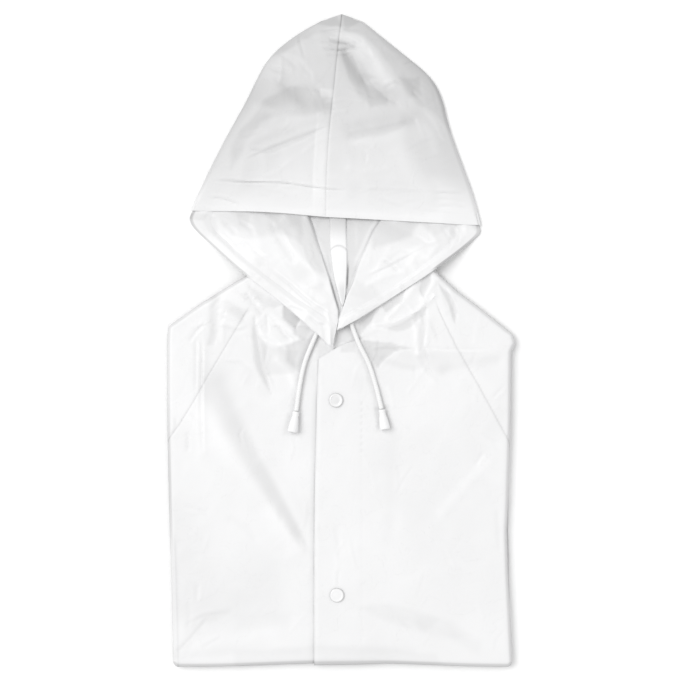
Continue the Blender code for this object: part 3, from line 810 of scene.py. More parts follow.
def cut_grid(x: Array, y: Array, corners: list[Place]) -> tuple[Array, Array, list[Face]]:
    """Cuts a grid of places along an outline, without ragged edges.

    The grid's points beside the outline are moved on to it, and a face that it crosses from corner to
    corner is halved.

    Args:
        x: Rows of places across.
        y: Rows of places along.
        corners: The outline, counter-clockwise.

    Returns:
        The moved places, x and y in one row each, and the faces inside the outline.
    """
    away = signed_distance(x.ravel(), y.ravel(), corners)
    rows = numbered(x)
    x, y, moved = on_outline(x, y, away, corners)
    away[moved] = 0.0
    faces = []
    for quad in quads_between(rows):
        signs = away[list(quad)]
        if signs.max() <= 0.0:
            continue
        if signs.min() >= 0.0:
            faces.append(quad)
        elif signs[0] == 0.0 and signs[2] == 0.0:
            faces.append((quad[0], quad[1], quad[2]) if signs[1] > 0 else (quad[0], quad[2], quad[3]))
        elif signs[1] == 0.0 and signs[3] == 0.0:
            faces.append((quad[1], quad[2], quad[3]) if signs[2] > 0 else (quad[1], quad[3], quad[0]))
    return x, y, faces


def used_only(faces: list[Face], *values: Array) -> tuple[list[Face], list[Array]]:
    """Drops the points that no face uses.

    Args:
        faces: The faces.
        *values: Lists of values, one for each point.

    Returns:
        The faces with their new numbers, and the shortened lists.
    """
    used = np.unique(np.concatenate([np.array(face) for face in faces]))
    number = np.full(used.max() + 1, -1)
    number[used] = np.arange(len(used))
    return [tuple(number[list(face)].tolist()) for face in faces], [value[used] for value in values]


# ---------------------------------------------------------------- studio


@dataclass
class Studio:
    """The pale floor, the soft light and the camera straight above."""

    frame_width: float = 665.0
    centre: Place = (8.55, -11.9)
    camera_height: float = 1578.0
    object_height: float = 8.0
    floor_size: float = 16.0
    floor_drop: float = 0.0002
    sensor: float = 36.0
    sky: float = 0.80

    def camera(self) -> None:
        """Makes the camera: its picture's up is +Y."""
        data = bpy.data.cameras.new("camera")
        data.sensor_width = self.sensor
        data.lens = self.sensor * (self.camera_height - self.object_height) / self.frame_width
        camera = bpy.data.objects.new("camera", data)
        camera.location = Vector((*self.centre, self.camera_height)) * MM
        bpy.context.scene.collection.objects.link(camera)
        bpy.context.scene.camera = camera

    def lamp(self, name: str, place: tuple[float, float, float], size: float, watts: float) -> None:
        """A square soft light that looks at the jacket.

        Args:
            name: The light's name.
            place: Where it hangs, in metres.
            size: Its side in metres.
            watts: Its power.
        """
        data = bpy.data.lights.new(name, "AREA")
        data.energy, data.size = watts, size
        light = bpy.data.objects.new(name, data)
        light.location = place
        light.rotation_euler = Vector(place).to_track_quat("Z", "Y").to_euler()
        bpy.context.scene.collection.objects.link(light)

    def build(self) -> None:
        """Lays the floor, hangs the lights and sets the plain view of colours."""
        pick_only()
        bpy.ops.mesh.primitive_plane_add(size=self.floor_size, location=(0.0, 0.0, -self.floor_drop))
        floor = bpy.context.active_object
        bpy.ops.object.transform_apply(location=True, rotation=False, scale=False)
        floor.name = "floor"
        floor.data.materials.append(PaperFloor().material())
        self.lamp("key", (-4.0, 1.9, 6.9), 4.6, 310.0)
        self.lamp("fill", (3.8, -2.6, 6.7), 5.0, 24.0)
        world = bpy.data.worlds.new("studio")
        world.use_nodes = True
        world.node_tree.nodes["Background"].inputs["Color"].default_value = grey(1.0)
        world.node_tree.nodes["Background"].inputs["Strength"].default_value = self.sky
        bpy.context.scene.world = world
        view = bpy.context.scene.view_settings
        view.view_transform, view.look, view.exposure, view.gamma = "Standard", "None", 0.0, 1.0


# ---------------------------------------------------------------- the folded body


@dataclass(frozen=True)
class BodyForm:
    """Sizes of the folded body: the CAD model's, with a rounder right shoulder."""

    wall: float = 1.2
    gap: float = 0.3
    fold_radius: float = 3.6
    waist_y: float = -309.5
    neck_y: float = 70.0
    flap_rise: float = 1.5
    flap_weld_x: float = 18.0
    flap_ramp: float = 6.0
    middle_height: float = 11.6
    side_height: float = 10.4
    shoulder_height: float = 9.6
    half_width: float = 165.0
    sections: tuple[tuple[float, float, float], ...] = (  # y, and x on the wearer's right and left
        (-309.5, -159.4, 163.0),
        (-270.0, -160.2, 161.2),
        (-225.0, -161.4, 158.8),
        (-185.0, -162.8, 157.6),
        (-155.0, -163.6, 158.9),
        (-80.0, -165.2, 161.2),
        (-14.0, -165.4, 161.8),
        (-5.0, -165.3, 165.8),
        (3.0, -165.0, 163.4),
        (10.0, -164.4, 154.6),
        (14.0, -159.6, 149.5),
        (30.0, -137.0, 129.5),
        (44.0, -114.8, 110.5),
        (58.0, -91.9, 95.5),
        (70.0, -76.0, 84.0),
    )
    folds: tuple[Crease, ...] = (
        roll(13, 1.8, (-112, -38), (-72, -118)),
        roll(9, 2.2, (-72, -118), (-24, -196)),
        roll(8, -0.9, (-100, -90), (-52, -168)),
        roll(4.5, 1.1, (-130, 12), (-131, -108)),
        roll(7, -0.9, (-77, 6), (-66, -52)),
        roll(8, 1.3, (-66, 8), (-52, -22)),
        roll(7, 1.1, (-112, 32), (-92, 8)),
        roll(6, 1.3, (60, -13), (152, -14)),
        roll(6, 1.2, (84, 18), (74, -16)),
        roll(7, 1.2, (96, 34), (113, -4)),
        roll(16, 0.9, (150, -60), (60, -150)),
        roll(8, 0.9, (-150, -296), (-60, -279)),
        roll(9, 1.1, (44, -262), (134, -294)),
    )

    def edge(self, y: Array, left: bool) -> Array:
        """The outline's place at the wearer's left or right."""
        table = np.array(self.sections)
        return np.interp(y, table[:, 0], table[:, 2 if left else 1])

    def stretch(self, y: Array, left: bool) -> Array:
        """How much wider a distance from the outline is along a section, where the side slants."""
        return np.hypot(1.0, (self.edge(y + 2, left) - self.edge(y - 2, left)) / 4)

    def inside(self, y: Array, distance: float) -> tuple[Array, Array]:
        """The outline's places at the wearer's right and left, moved in by a distance."""
        right = self.edge(y, False) + distance * self.stretch(y, False)
        return right, self.edge(y, True) - distance * self.stretch(y, True)

    def layers_height(self, x: Array, y: Array) -> Array:
        """Height of the folded layers' flat top."""
        thick = self.middle_height - (self.middle_height - self.side_height) * (x / self.half_width) ** 2
        return thick + (self.shoulder_height - thick) * ramp(y, -40.0, 50.0)

    def sheet_top(self, x: Array, y: Array, rise: Array) -> Array:
        """Height of the draped sheet's outer face away from its edges, with its large folds."""
        return self.layers_height(x, y) + self.gap + self.wall + Relief(self.folds).height(x, y) + rise

    def waist_drop(self, x: Array, y: Array) -> Array:
        """How much further down the waist's fold lies, less in the middle than at its two ends."""
        return (4.0 * ramp(np.abs(x - 8.0), 0.0, 150.0) - 1.5) * ramp(y, -240.0, -300.0)

    def flap_share(self, x: Array) -> Array:
        """1 where the closing flap lifts the left front, and 0 beside it."""
        return ramp(x, self.flap_weld_x + self.flap_ramp, self.flap_weld_x)

    def outside(self, x: Array, y: Array) -> Array:
        """Distance past the body's outline at the shoulders and neck.

        Args:
            x: Places across.
            y: Places along.

        Returns:
            The distance at each point, below zero inside the outline.
        """
        right = 0.857 * (y - 14.0) - 0.515 * (x + 164.2)
        left = 0.775 * (y - 3.0) + 0.632 * (x - 163.4)
        return np.maximum(np.maximum(right, left), y - self.neck_y)


BODY = BodyForm()

BODY_CREASES = (
    furrow(1.3, 0.75, (-131.5, 2), (-132.6, -60), (-131, -114)),
    furrow(1.2, 0.45, (-137, 4), (-137.6, -54)),
    furrow(1.3, 0.5, (-126, 18), (-137, 6), (-145, -6)),
    furrow(1.6, 0.5, (-82, 20), (-79, -8), (-75, -30), (-66, -55)),
    lap(16.0, 0.85, 85.0, (-32, -208), (-44, -193), (-68, -156), (-100, -105), (-117, -78), (-130, -40)),
    lap(7.0, 0.3, 34.0, (-31, -207), (-47, -184), (-66, -153)),
    furrow(1.3, 0.35, (-92, -84), (-96, -92), (-93, -104)),
    roll(1.7, 0.7, (-103, 48), (-91, 37)),
    roll(1.3, 0.9, (-81.5, 38), (-73.5, 28)),
    roll(1.9, 0.9, (-79, 14), (-72, -2), (-59, -8), (-46, -4), (-40, -1)),
    furrow(1.2, 0.7, (-67, 12), (-59, 9.6), (-52, 0), (-45.6, -4)),
    roll(2.4, 0.7, (-77, 30), (-58, 16), (-46, 5)),
    roll(1.5, -0.6, (-71, 20), (-69.5, 5.6)),
    roll(1.3, 0.5, (-116, 24), (-96, 14)),
    roll(4.0, 0.5, (-43, -16), (-41, -20)),
    roll(2.0, 0.9, (44, 18), (52, 26), (59, 34)),
    roll(3.0, 0.9, (63, 39), (69.5, 48)),
    roll(2.4, 0.9, (77.5, 35), (85.5, 47), (91, 56)),
    roll(1.9, 1.1, (32, 12), (52, 15), (68, 21.7), (79, 31), (89.5, 40)),
    roll(1.4, 0.6, (18, 3), (31, 8), (44, 7)),
    roll(1.4, 0.5, (30, -3.5), (44, -5.5)),
    furrow(1.8, 0.5, (-112, 36), (-97, 26), (-90, 16)),
    roll(2.4, -0.7, (-90, 40), (-76, 22)),
    furrow(2.0, 0.6, (-78, 2), (-62, -6), (-50, -18)),
    furrow(1.8, 0.5, (-116, 12), (-98, 6), (-86, 10)),
    roll(3.6, 0.6, (-60, -22), (-48, -34), (-40, -52)),
    furrow(1.6, 0.5, (97, 51), (104, 34), (110, 14)),
    furrow(1.4, -0.5, (78, -11), (104, -12.6), (142, -13.2)),
    roll(2.4, 0.7, (72, 8), (73, -16)),
    furrow(1.4, 0.5, (80, 12), (78, -8), (84, -24)),
    furrow(1.4, 0.6, (28, -12), (44, -10), (60, -12)),
    roll(2.6, -0.5, (40, -20), (58, -28), (70, -30)),
    furrow(1.2, 0.5, (155, -46), (143, -58)),
    roll(5.0, -0.6, (148, -22), (120, -26), (98, -32)),
    furrow(1.5, 0.45, (-158, -298), (-142, -282), (-124, -262)),
    furrow(1.6, 0.3, (-150, -272), (-128, -262), (-104, -260)),
    furrow(1.6, 0.3, (-134, -292), (-112, -282)),
    furrow(3.4, 0.22, (40, -262), (66, -268), (96, -278), (134, -292)),
    furrow(1.5, 0.25, (60, -270), (74, -282)),
    furrow(1.2, 0.4, (-3.3, -236), (-2.6, -218)),
    roll(5.0, 0.5, (140, -118), (118, -140), (96, -166)),
    furrow(1.8, 0.4, (136, -108), (126, -122)),
    roll(7.0, -0.35, (52, -96), (50, -150), (46, -190)),
    roll(3.4, -0.35, (-4, -182), (-2, -204)),
    roll(3.4, -0.35, (-104, -172), (-88, -182), (-82, -190)),
    furrow(1.8, 0.4, (-136, -232), (-137, -252)),
    roll(2.4, -0.35, (-144, -254), (-145, -272)),
    furrow(1.2, 0.5, (-162, -94), (-156, -84), (-158, -74)),
    roll(2.0, -0.5, (-145, -92), (-145, -106)),
    roll(6.0, -0.4, (-24, -296), (20, -300), (70, -298)),
    roll(5.0, -0.4, (-140, -300), (-90, -296), (-40, -300)),
    roll(2.2, -0.4, (148, -166), (150, -200)),
)

# facets: dents with painted shade on them, or painted highlight where the shade is below zero
BODY_PAINTED_FACETS = (
    painted_facet(0.0, 0.12, 26.0, (-190, -50), (-130, -90), (-90, -130), (-56, -190), (-56, -270), (-190, -270)),
    painted_facet(0.4, 0.30, 3.0, (-92, 54), (-84, 46), (-54, 30), (-64, 27), (-82, 37)),
    painted_facet(0.8, 0.75, 1.6, (-54, 31), (-38, 18), (-43, 9), (-54, 18)),
    painted_facet(0.5, 0.34, 2.0, (-44, 12), (-27, 9), (-35, -4), (-44, 4)),
    painted_facet(0.7, 0.40, 5.0, (-53, -7), (-36, -3), (-24, 4), (-27, -14), (-39, -34), (-52, -22)),
    painted_facet(0.4, 0.20, 4.0, (-73, -8), (-54, -11), (-40, -13), (-43, -34), (-72, -38)),
    painted_facet(0.8, 0.34, 3.0,
        (-83, 20), (-79, 2), (-71, -8), (-71, -36), (-67, -53), (-76, -38), (-81, -20), (-85, 0),
    ),
    painted_facet(0.4, 0.16, 3.0, (-110, 31), (-86, 26), (-94, 13)),
    painted_facet(0.5, 0.26, 3.5, (-114, 42), (-117, 6), (-120, -7), (-127, -7), (-125, 10), (-123, 38)),
    painted_facet(0.6, 0.48, 2.0, (16, 16), (33, 27), (26, 11), (18, 2)),
    painted_facet(0.6, 0.45, 2.0, (37, 31), (62, 48), (58, 35), (43, 24)),
    painted_facet(0.7, 0.42, 2.0, (77, 58), (85, 63), (86, 52), (79, 36), (75, 44)),
    painted_facet(0.6, 0.38, 2.0, (92, 51), (106, 38), (112, 23), (108, 13), (102, 32)),
    painted_facet(0.8, 0.38, 1.8, (43, 7), (52, 11), (66, 18), (78, 27), (82, 31), (80, 21), (66, 11), (52, 5)),
    painted_facet(0.4, 0.18, 3.0, (82, 22), (76, 20), (72, 0), (68, -12), (75, -12), (80, 2)),
    painted_facet(0.8, 0.45, 2.0, (20, -2), (43, -6), (69, -9), (50, -13), (43, -20), (35, -29), (28, -19)),
    painted_facet(0.1, 0.12, 9.0, (52, -12), (100, -15), (114, -18), (100, -33), (60, -30), (42, -26)),
    painted_facet(0.0, 0.34, 1.5, (-6, 3), (7, 13), (14, 8), (11, -6), (0, -5), (-6, -9)),
    painted_facet(0.2, 0.26, 2.5, (0, -7), (13, -6), (14, -15), (0, -14)),
    painted_facet(0.2, 0.22, 3.0, (-24, -3), (-8, -12), (-24, -22)),
    painted_facet(0.3, 0.2, 4.5,
        (-28, 4), (-19, 2), (-29, -22), (-34, -45), (-37, -70), (-47, -70), (-44, -45), (-38, -22),
    ),
    painted_facet(0.3, 0.2, 4.5,
        (5, 12), (15, 12), (22, -6), (31, -25), (38, -46), (43, -68), (33, -68), (28, -46), (21, -25),
        (12, -6),
    ),
    painted_facet(0.3, 0.25, 5.0, (-51, -72), (-37, -70), (-38, -91), (-54, -93)),
    painted_facet(0.3, 0.4, 5.0, (32, -66), (45, -64), (49, -86), (34, -89)),
    painted_facet(0.2, 0.12, 6.0,
        (-164, -302), (-150, -304), (-128, -270), (-104, -262), (-104, -256), (-134, -262),
    ),
    painted_facet(0.0, 0.12, 7.0, (-100, -296), (-100, -318), (100, -318), (90, -300), (50, -295), (-20, -293)),
    painted_facet(0.0, 0.13, 7.0,
        (16, -256), (44, -252), (74, -258), (92, -266), (80, -278), (58, -274), (34, -264),
    ),
    painted_facet(0.0, 0.10, 7.0, (70, -262), (104, -268), (122, -280), (100, -286), (72, -278)),
    painted_facet(0.0, 0.09, 9.0, (100, -272), (134, -286), (132, -298), (108, -288)),
    painted_facet(0.0, 0.07, 9.0, (-100, -278), (-50, -272), (-48, -260), (-96, -262)),
)

HOOD_SHADOW = (  # the part of the sheet that the hood lies on
    ((-27.0, 7.0), (-11.0, -9.0), (-6.0, 4.0), (7.0, 12.2), (42.5, 33.6))
    + ((100.0, 72.5), (100.0, 140.0), (-106.0, 140.0), (-106.0, 73.2), (-62.5, 37.2))
)


@dataclass
class DrapedSheet:
    """The fronts, the sleeves' tops and the hood's foot: one draped sheet, cut along its seams."""

    step: float = 1.6
    turns: int = 7
    turn_degrees: float = 112.0
    width: float = 318.0
    seam_gap: float = 0.02
    cloth: float = 0.9
    plain_tone: float = 0.12
    fold_share: float = 0.45
    finish: Vinyl = Vinyl("white_vinyl")
    relief: Relief = Relief(
        BODY_CREASES
        + small_creases(11, 46, (-158.0, -300.0), (158.0, 30.0), 0.28, 100.0)
        + small_creases(12, 34, (-130.0, -60.0), (130.0, 44.0), 0.4, 60.0),
        (Crumple(3, 46.0, 0.35), Crumple(5, 21.0, 0.14, facets=True), Crumple(8, 9.0, 0.05)),
    )
    neck_right: Place = (-84.8, 33.0)
    neck_left: Place = (88.4, 38.5)
    raglan_right: tuple[Place, ...] = ((-129.8, -42.8), (-138.0, -57.8), (-153.0, -82.2), (-176.0, -113.0))
    raglan_left: tuple[Place, ...] = (
        ((93.5, 24.0), (101.0, 8.3), (110.5, -10.8), (132.2, -48.9), (176.0, -129.0))
    )
    seam_right: tuple[Place, ...] = ((-71.0, 23.0), (-46.5, -1.0), (-24.0, -13.0), (-9.0, -11.5))
    seam_left: tuple[Place, ...] = ((3.0, -6.4), (27.5, 1.6), (49.4, 13.3), (78.5, 28.0))
    flap_top: tuple[Place, ...] = ((-21.0, -20.0), (-8.5, -12.8), (-4.0, -9.4))
    flap_edge: tuple[Place, ...] = (
        ((-21.6, -30.0), (-22.8, -62.0), (-25.0, -155.0), (-25.4, -250.0), (-25.4, -340.0))
    )
    long_fold: tuple[Place, ...] = (
        ((-126, -20), (-117, -53), (-91, -104), (-67, -143), (-46, -178), (-29, -209))
    )
    flap_top_y: float = -21.0
    underlap_x: float = 14.0
    flap_slope: Place = (52.0, 8.0)
    far: float = 200.0
    above: float = 90.0
    below: float = -340.0
    cuts: dict[str, tuple[float, float, float]] = field(
        default_factory=lambda: {
            "sleeve_right": (0.112, 0.150, 0.0068),
            "front_right": (0.185, 0.370, 0.0542),
            "front_left": (0.205, 0.370, 0.0576),
            "sleeve_left": (0.100, 0.170, 0.0060),
            "hood_foot": (0.190, 0.090, 0.0119),
        }
    )

    @property
    def reach(self) -> float:
        """How far in from the body's outline the sheet begins to turn down."""
        return BODY.flap_rise + BODY.fold_radius

    @property
    def turn_radius(self) -> float:
        """Radius of the turned-down edges' outer face."""
        return BODY.fold_radius + BODY.gap + BODY.wall

    def outlines(self) -> dict[str, list[Place]]:
        """The panels' outlines.

        Returns:
            Each outline, counter-clockwise, by its panel's name.
        """
        raglan_right = [self.neck_right, *self.raglan_right]
        raglan_left = [self.neck_left, *self.raglan_left]
        neck_right = [self.neck_right, *self.seam_right]
        neck_left = [*self.seam_left, self.neck_left]
        far, above, below = self.far, self.above, self.below
        top_right, top_left = (-92.0, above), (99.0, above)
        right_end, left_end = (-far, raglan_right[-1][1]), (far, raglan_left[-1][1])
        under_flap = [(self.underlap_x, below), (self.underlap_x, -4.0)]
        flap = [*self.flap_top[::-1], *self.flap_edge]
        return {
            "sleeve_right": [top_right, (-far, above), right_end, *raglan_right[::-1]],
            "front_right": [*raglan_right, right_end, (-far, below), *under_flap, *neck_right[:0:-1]],
            "front_left": [*flap, (far, below), left_end, *raglan_left[::-1], *neck_left[-2::-1]],
            "sleeve_left": [*raglan_left, left_end, (far, above), top_left],
            "hood_foot": [top_right, *neck_right, *neck_left, top_left],
        }

    def flat_grid(self) -> tuple[Array, Array]:
        """Lays out the sheet before its edges are turned down, so past them by the turn's length.

        Returns:
            The places' x in rows, and their y.
        """
        past = math.radians(self.turn_degrees) * self.turn_radius * np.arange(1, self.turns + 1) / self.turns
        low, high = BODY.waist_y + self.reach, BODY.neck_y - self.reach
        rows = np.concatenate([low - past[::-1], parted(low, high, self.step), high + past])
        right, left = BODY.inside(np.clip(rows, low, high), self.reach)
        share = parted(0.0, 1.0, self.step / self.width)
        flat = right[:, None] + share[None, :] * (left - right)[:, None]
        x = np.hstack([right[:, None] - past[None, ::-1], flat, left[:, None] + past[None, :]])
        return x, np.repeat(rows[:, None], x.shape[1], axis=1)

    def folded(self, x: Array, y: Array, lifted: bool) -> tuple[Array, Array]:
        """Lays flat places over the folded body, and turns what is past its edge down.

        Args:
            x: Places across on the flat sheet.
            y: Places along it.
            lifted: True for the panel that the closing flap lifts.

        Returns:
            The points, and the cloth's greyness at each: plain grey with painted shade and highlight.
        """
        inner_y = np.clip(y, BODY.waist_y + self.reach, BODY.neck_y - self.reach)
        right, left = BODY.inside(inner_y, self.reach)
        inner_x = np.clip(x, right, left)
        past_x, past_y = x - inner_x, y - inner_y
        lean = np.maximum(np.abs(past_x), np.abs(past_y)) / self.turn_radius
        radius = self.turn_radius + (BODY.flap_rise * ramp(x, *self.flap_slope) if lifted else 0.0)
        outwards = radius * np.sin(lean) / np.maximum(np.hypot(past_x, past_y), 1e-9)
        stretch = np.where(x < (right + left) / 2, BODY.stretch(inner_y, False), BODY.stretch(inner_y, True))
        out_x = inner_x + past_x * outwards * stretch
        out_y = inner_y + past_y * outwards * np.where(past_y < 0, 1.2, 1.0)
        out_y = out_y - BODY.waist_drop(inner_x, inner_y)
        sides = np.minimum(x - BODY.edge(inner_y, False), BODY.edge(inner_y, True) - x)
        sides = np.minimum(sides, y - BODY.waist_y)
        fine = self.fine_relief(x, y, sides) - (self.flap_weld(x, y) if lifted else 0.0)
        broad = self.fold_share * Relief(BODY.folds).height(x, y) * ramp(sides, 4.0, 18.0)
        dent, facet_shade = facet_dent_and_shade(BODY_PAINTED_FACETS, x, y)
        z = BODY.layers_height(inner_x, inner_y) - BODY.fold_radius + radius * np.cos(lean)
        z = z + broad + fine - dent * ramp(sides, 1.0, 5.0)
        # painted shade on the facets, the long fold and the creases' valleys, and painted highlight on their
        # ridges
        tone = self.plain_tone + facet_shade + self.fold_shadow(x, y) - 0.16 * fine
        # painted shade where the cloth turns down, and painted shade and highlight beside the flap
        tone = tone + self.edge_painted_shade(x, y, past_x, past_y, lean)
        flap_z, flap_painted_light = self.beside_flap(x, y, lifted)
        return stacked(out_x, out_y, z + flap_z), tone + flap_painted_light

    def fine_relief(self, x: Array, y: Array, sides: Array) -> Array:
        """The small creases, deeper towards the neck and pressed flat at the edges and below the hood.

        Args:
            x: Places across on the flat sheet.
            y: Places along it.
            sides: Their distance from the body's sides and waist.

        Returns:
            The height at each place.
        """
        fine = self.relief.height(x, y) * ramp(sides, 0.5, 8.5) * (1.0 + 0.3 * ramp(y, -80.0, -20.0))
        return fine * (1.0 - 0.85 * ramp(signed_distance(x, y, HOOD_SHADOW), 0.0, 7.0))

    def edge_painted_shade(self, x: Array, y: Array, past_x: Array, past_y: Array, lean: Array) -> Array:
        """Painted shade where the cloth turns down, with a painted shadow line by the lower right edge.

        Args:
            x: Places across on the flat sheet.
            y: Places along it.
            past_x: How far they are past the flat part, across.
            past_y: The same, along.
            lean: How far they have turned down, in radians.

        Returns:
            The painted shade at each place.
        """
        dark = 0.42 + 0.25 * band(y, -135.0, 45.0) - 0.27 * ramp(y, -170.0, -210.0)
        dark = np.where(past_y < 0, 0.7, np.where(past_x > 0, 0.4, dark))
        from_right = x - BODY.edge(y - past_y, False)
        line = 0.3 * band(from_right, 5.0, 1.3) * ramp(y, -180.0, -205.0)
        return 0.35 * ramp(lean, 0.8, 1.3) + dark * ramp(lean, 0.22, 0.52) + line

    def beside_flap(self, x: Array, y: Array, lifted: bool) -> tuple[Array, Array]:
        """What the closing flap's free edge does to the cloth.

        Its rim has painted shade with painted highlight just inside it, and beside it the cloth has a dent
        with a painted shadow line and soft painted shade.

        Args:
            x: Places across on the flat sheet.
            y: Places along it.
            lifted: True on the flap, and False on the cloth that it laps over.

        Returns:
            The rise at each place, and its greyness.
        """
        edge = np.array(self.flap_edge)[::-1]
        beside = np.interp(y, edge[:, 1], edge[:, 0]) - x
        free, hard = y < self.flap_top_y, 1.0 - 0.9 * ramp(y, -205.0, -245.0)
        if lifted:
            rim = 0.2 * ramp(beside, -0.7, 0.0) * free - 0.1 * band(beside, -2.4, 1.6)
            return np.zeros(x.shape), rim + 0.2 * self.flap_weld(x, y)
        line = (0.25 + 0.25 * hard) * band(beside, 0.3, 0.8) * free
        shade = 0.14 * hard * band(beside, 2.0, 2.2) * ramp(y, -40.0, -70.0)
        return -0.3 * band(beside, 0.6, 2.0) * free, line + shade

    def fold_shadow(self, x: Array, y: Array) -> Array:
        """How much painted shadow lies along the long slanting fold, which narrows towards the flap.

        Args:
            x: Places across on the flat sheet.
            y: Places along it.

        Returns:
            The greyness at each place.
        """
        share, away, side = from_line(x, y, self.long_fold)
        half = np.where(side > 0, 0.9, 1.1) * (15.5 - 12.0 * share)
        ends = ramp(share, -0.04, 0.12) * ramp(share, 1.0, 0.86)
        return (0.32 + 0.22 * share) * ends * np.exp(-((away / half) ** 3))

    def near_raglan(self, x: Array, y: Array) -> Array:
        """Finds the cloth beside the raglan seams.

        Args:
            x: Places across on the flat sheet.
            y: Places along it.

        Returns:
            1 beside a seam, fading out where it meets the neck, and 0 elsewhere.
        """
        beside = np.zeros(x.shape)
        for seam in ((self.neck_right, *self.raglan_right), (self.neck_left, *self.raglan_left)):
            share, away, _ = from_line(x, y, seam)
            beside = np.maximum(beside, (away < 3.0) * ramp(share, 0.0, 0.08))
        return beside

    def flap_weld(self, x: Array, y: Array) -> Array:
        """The welded line that ends the flap's doubled hem.

        Args:
            x: Places across on the flat sheet.
            y: Places along it.

        Returns:
            Its depth at each place.
        """
        line = band(x - BODY.flap_weld_x, 1.6, 1.2) * ramp(y, -26.0, -46.0)
        rungs = ramp(y, -56.0, -62.0) * ramp(y, -116.0, -110.0) * (0.4 + np.sin(y * math.tau / 6.4))
        return line * (0.08 + 0.3 * rungs)

    def build(self) -> list[Piece]:
        """Cuts, folds and thickens every panel.

        Returns:
            The panels.
        """
        material, grid = self.finish.material(), self.flat_grid()
        panels = []
        for name, outline in self.outlines().items():
            x, y, faces = cut_grid(*grid, inset_outline(outline, self.seam_gap / 2))
            faces, (x, y) = used_only(faces, x, y)
            points, tone = self.folded(x, y, name == "front_left")
            seam, raglan = signed_distance(x, y, outline), self.near_raglan(x, y)
            points[:, 2] -= 0.22 * raglan * ramp(seam - self.seam_gap / 2, 1.5, 0.0)
            tone = tone + 0.4 * raglan * ramp(seam, 1.2, 0.0)
            piece = mesh_object(name + "_cloth", points, faces, tone)
            give_wall(piece, self.cloth, -1.0)
            panels.append(dress(piece, material, name))
        return panels


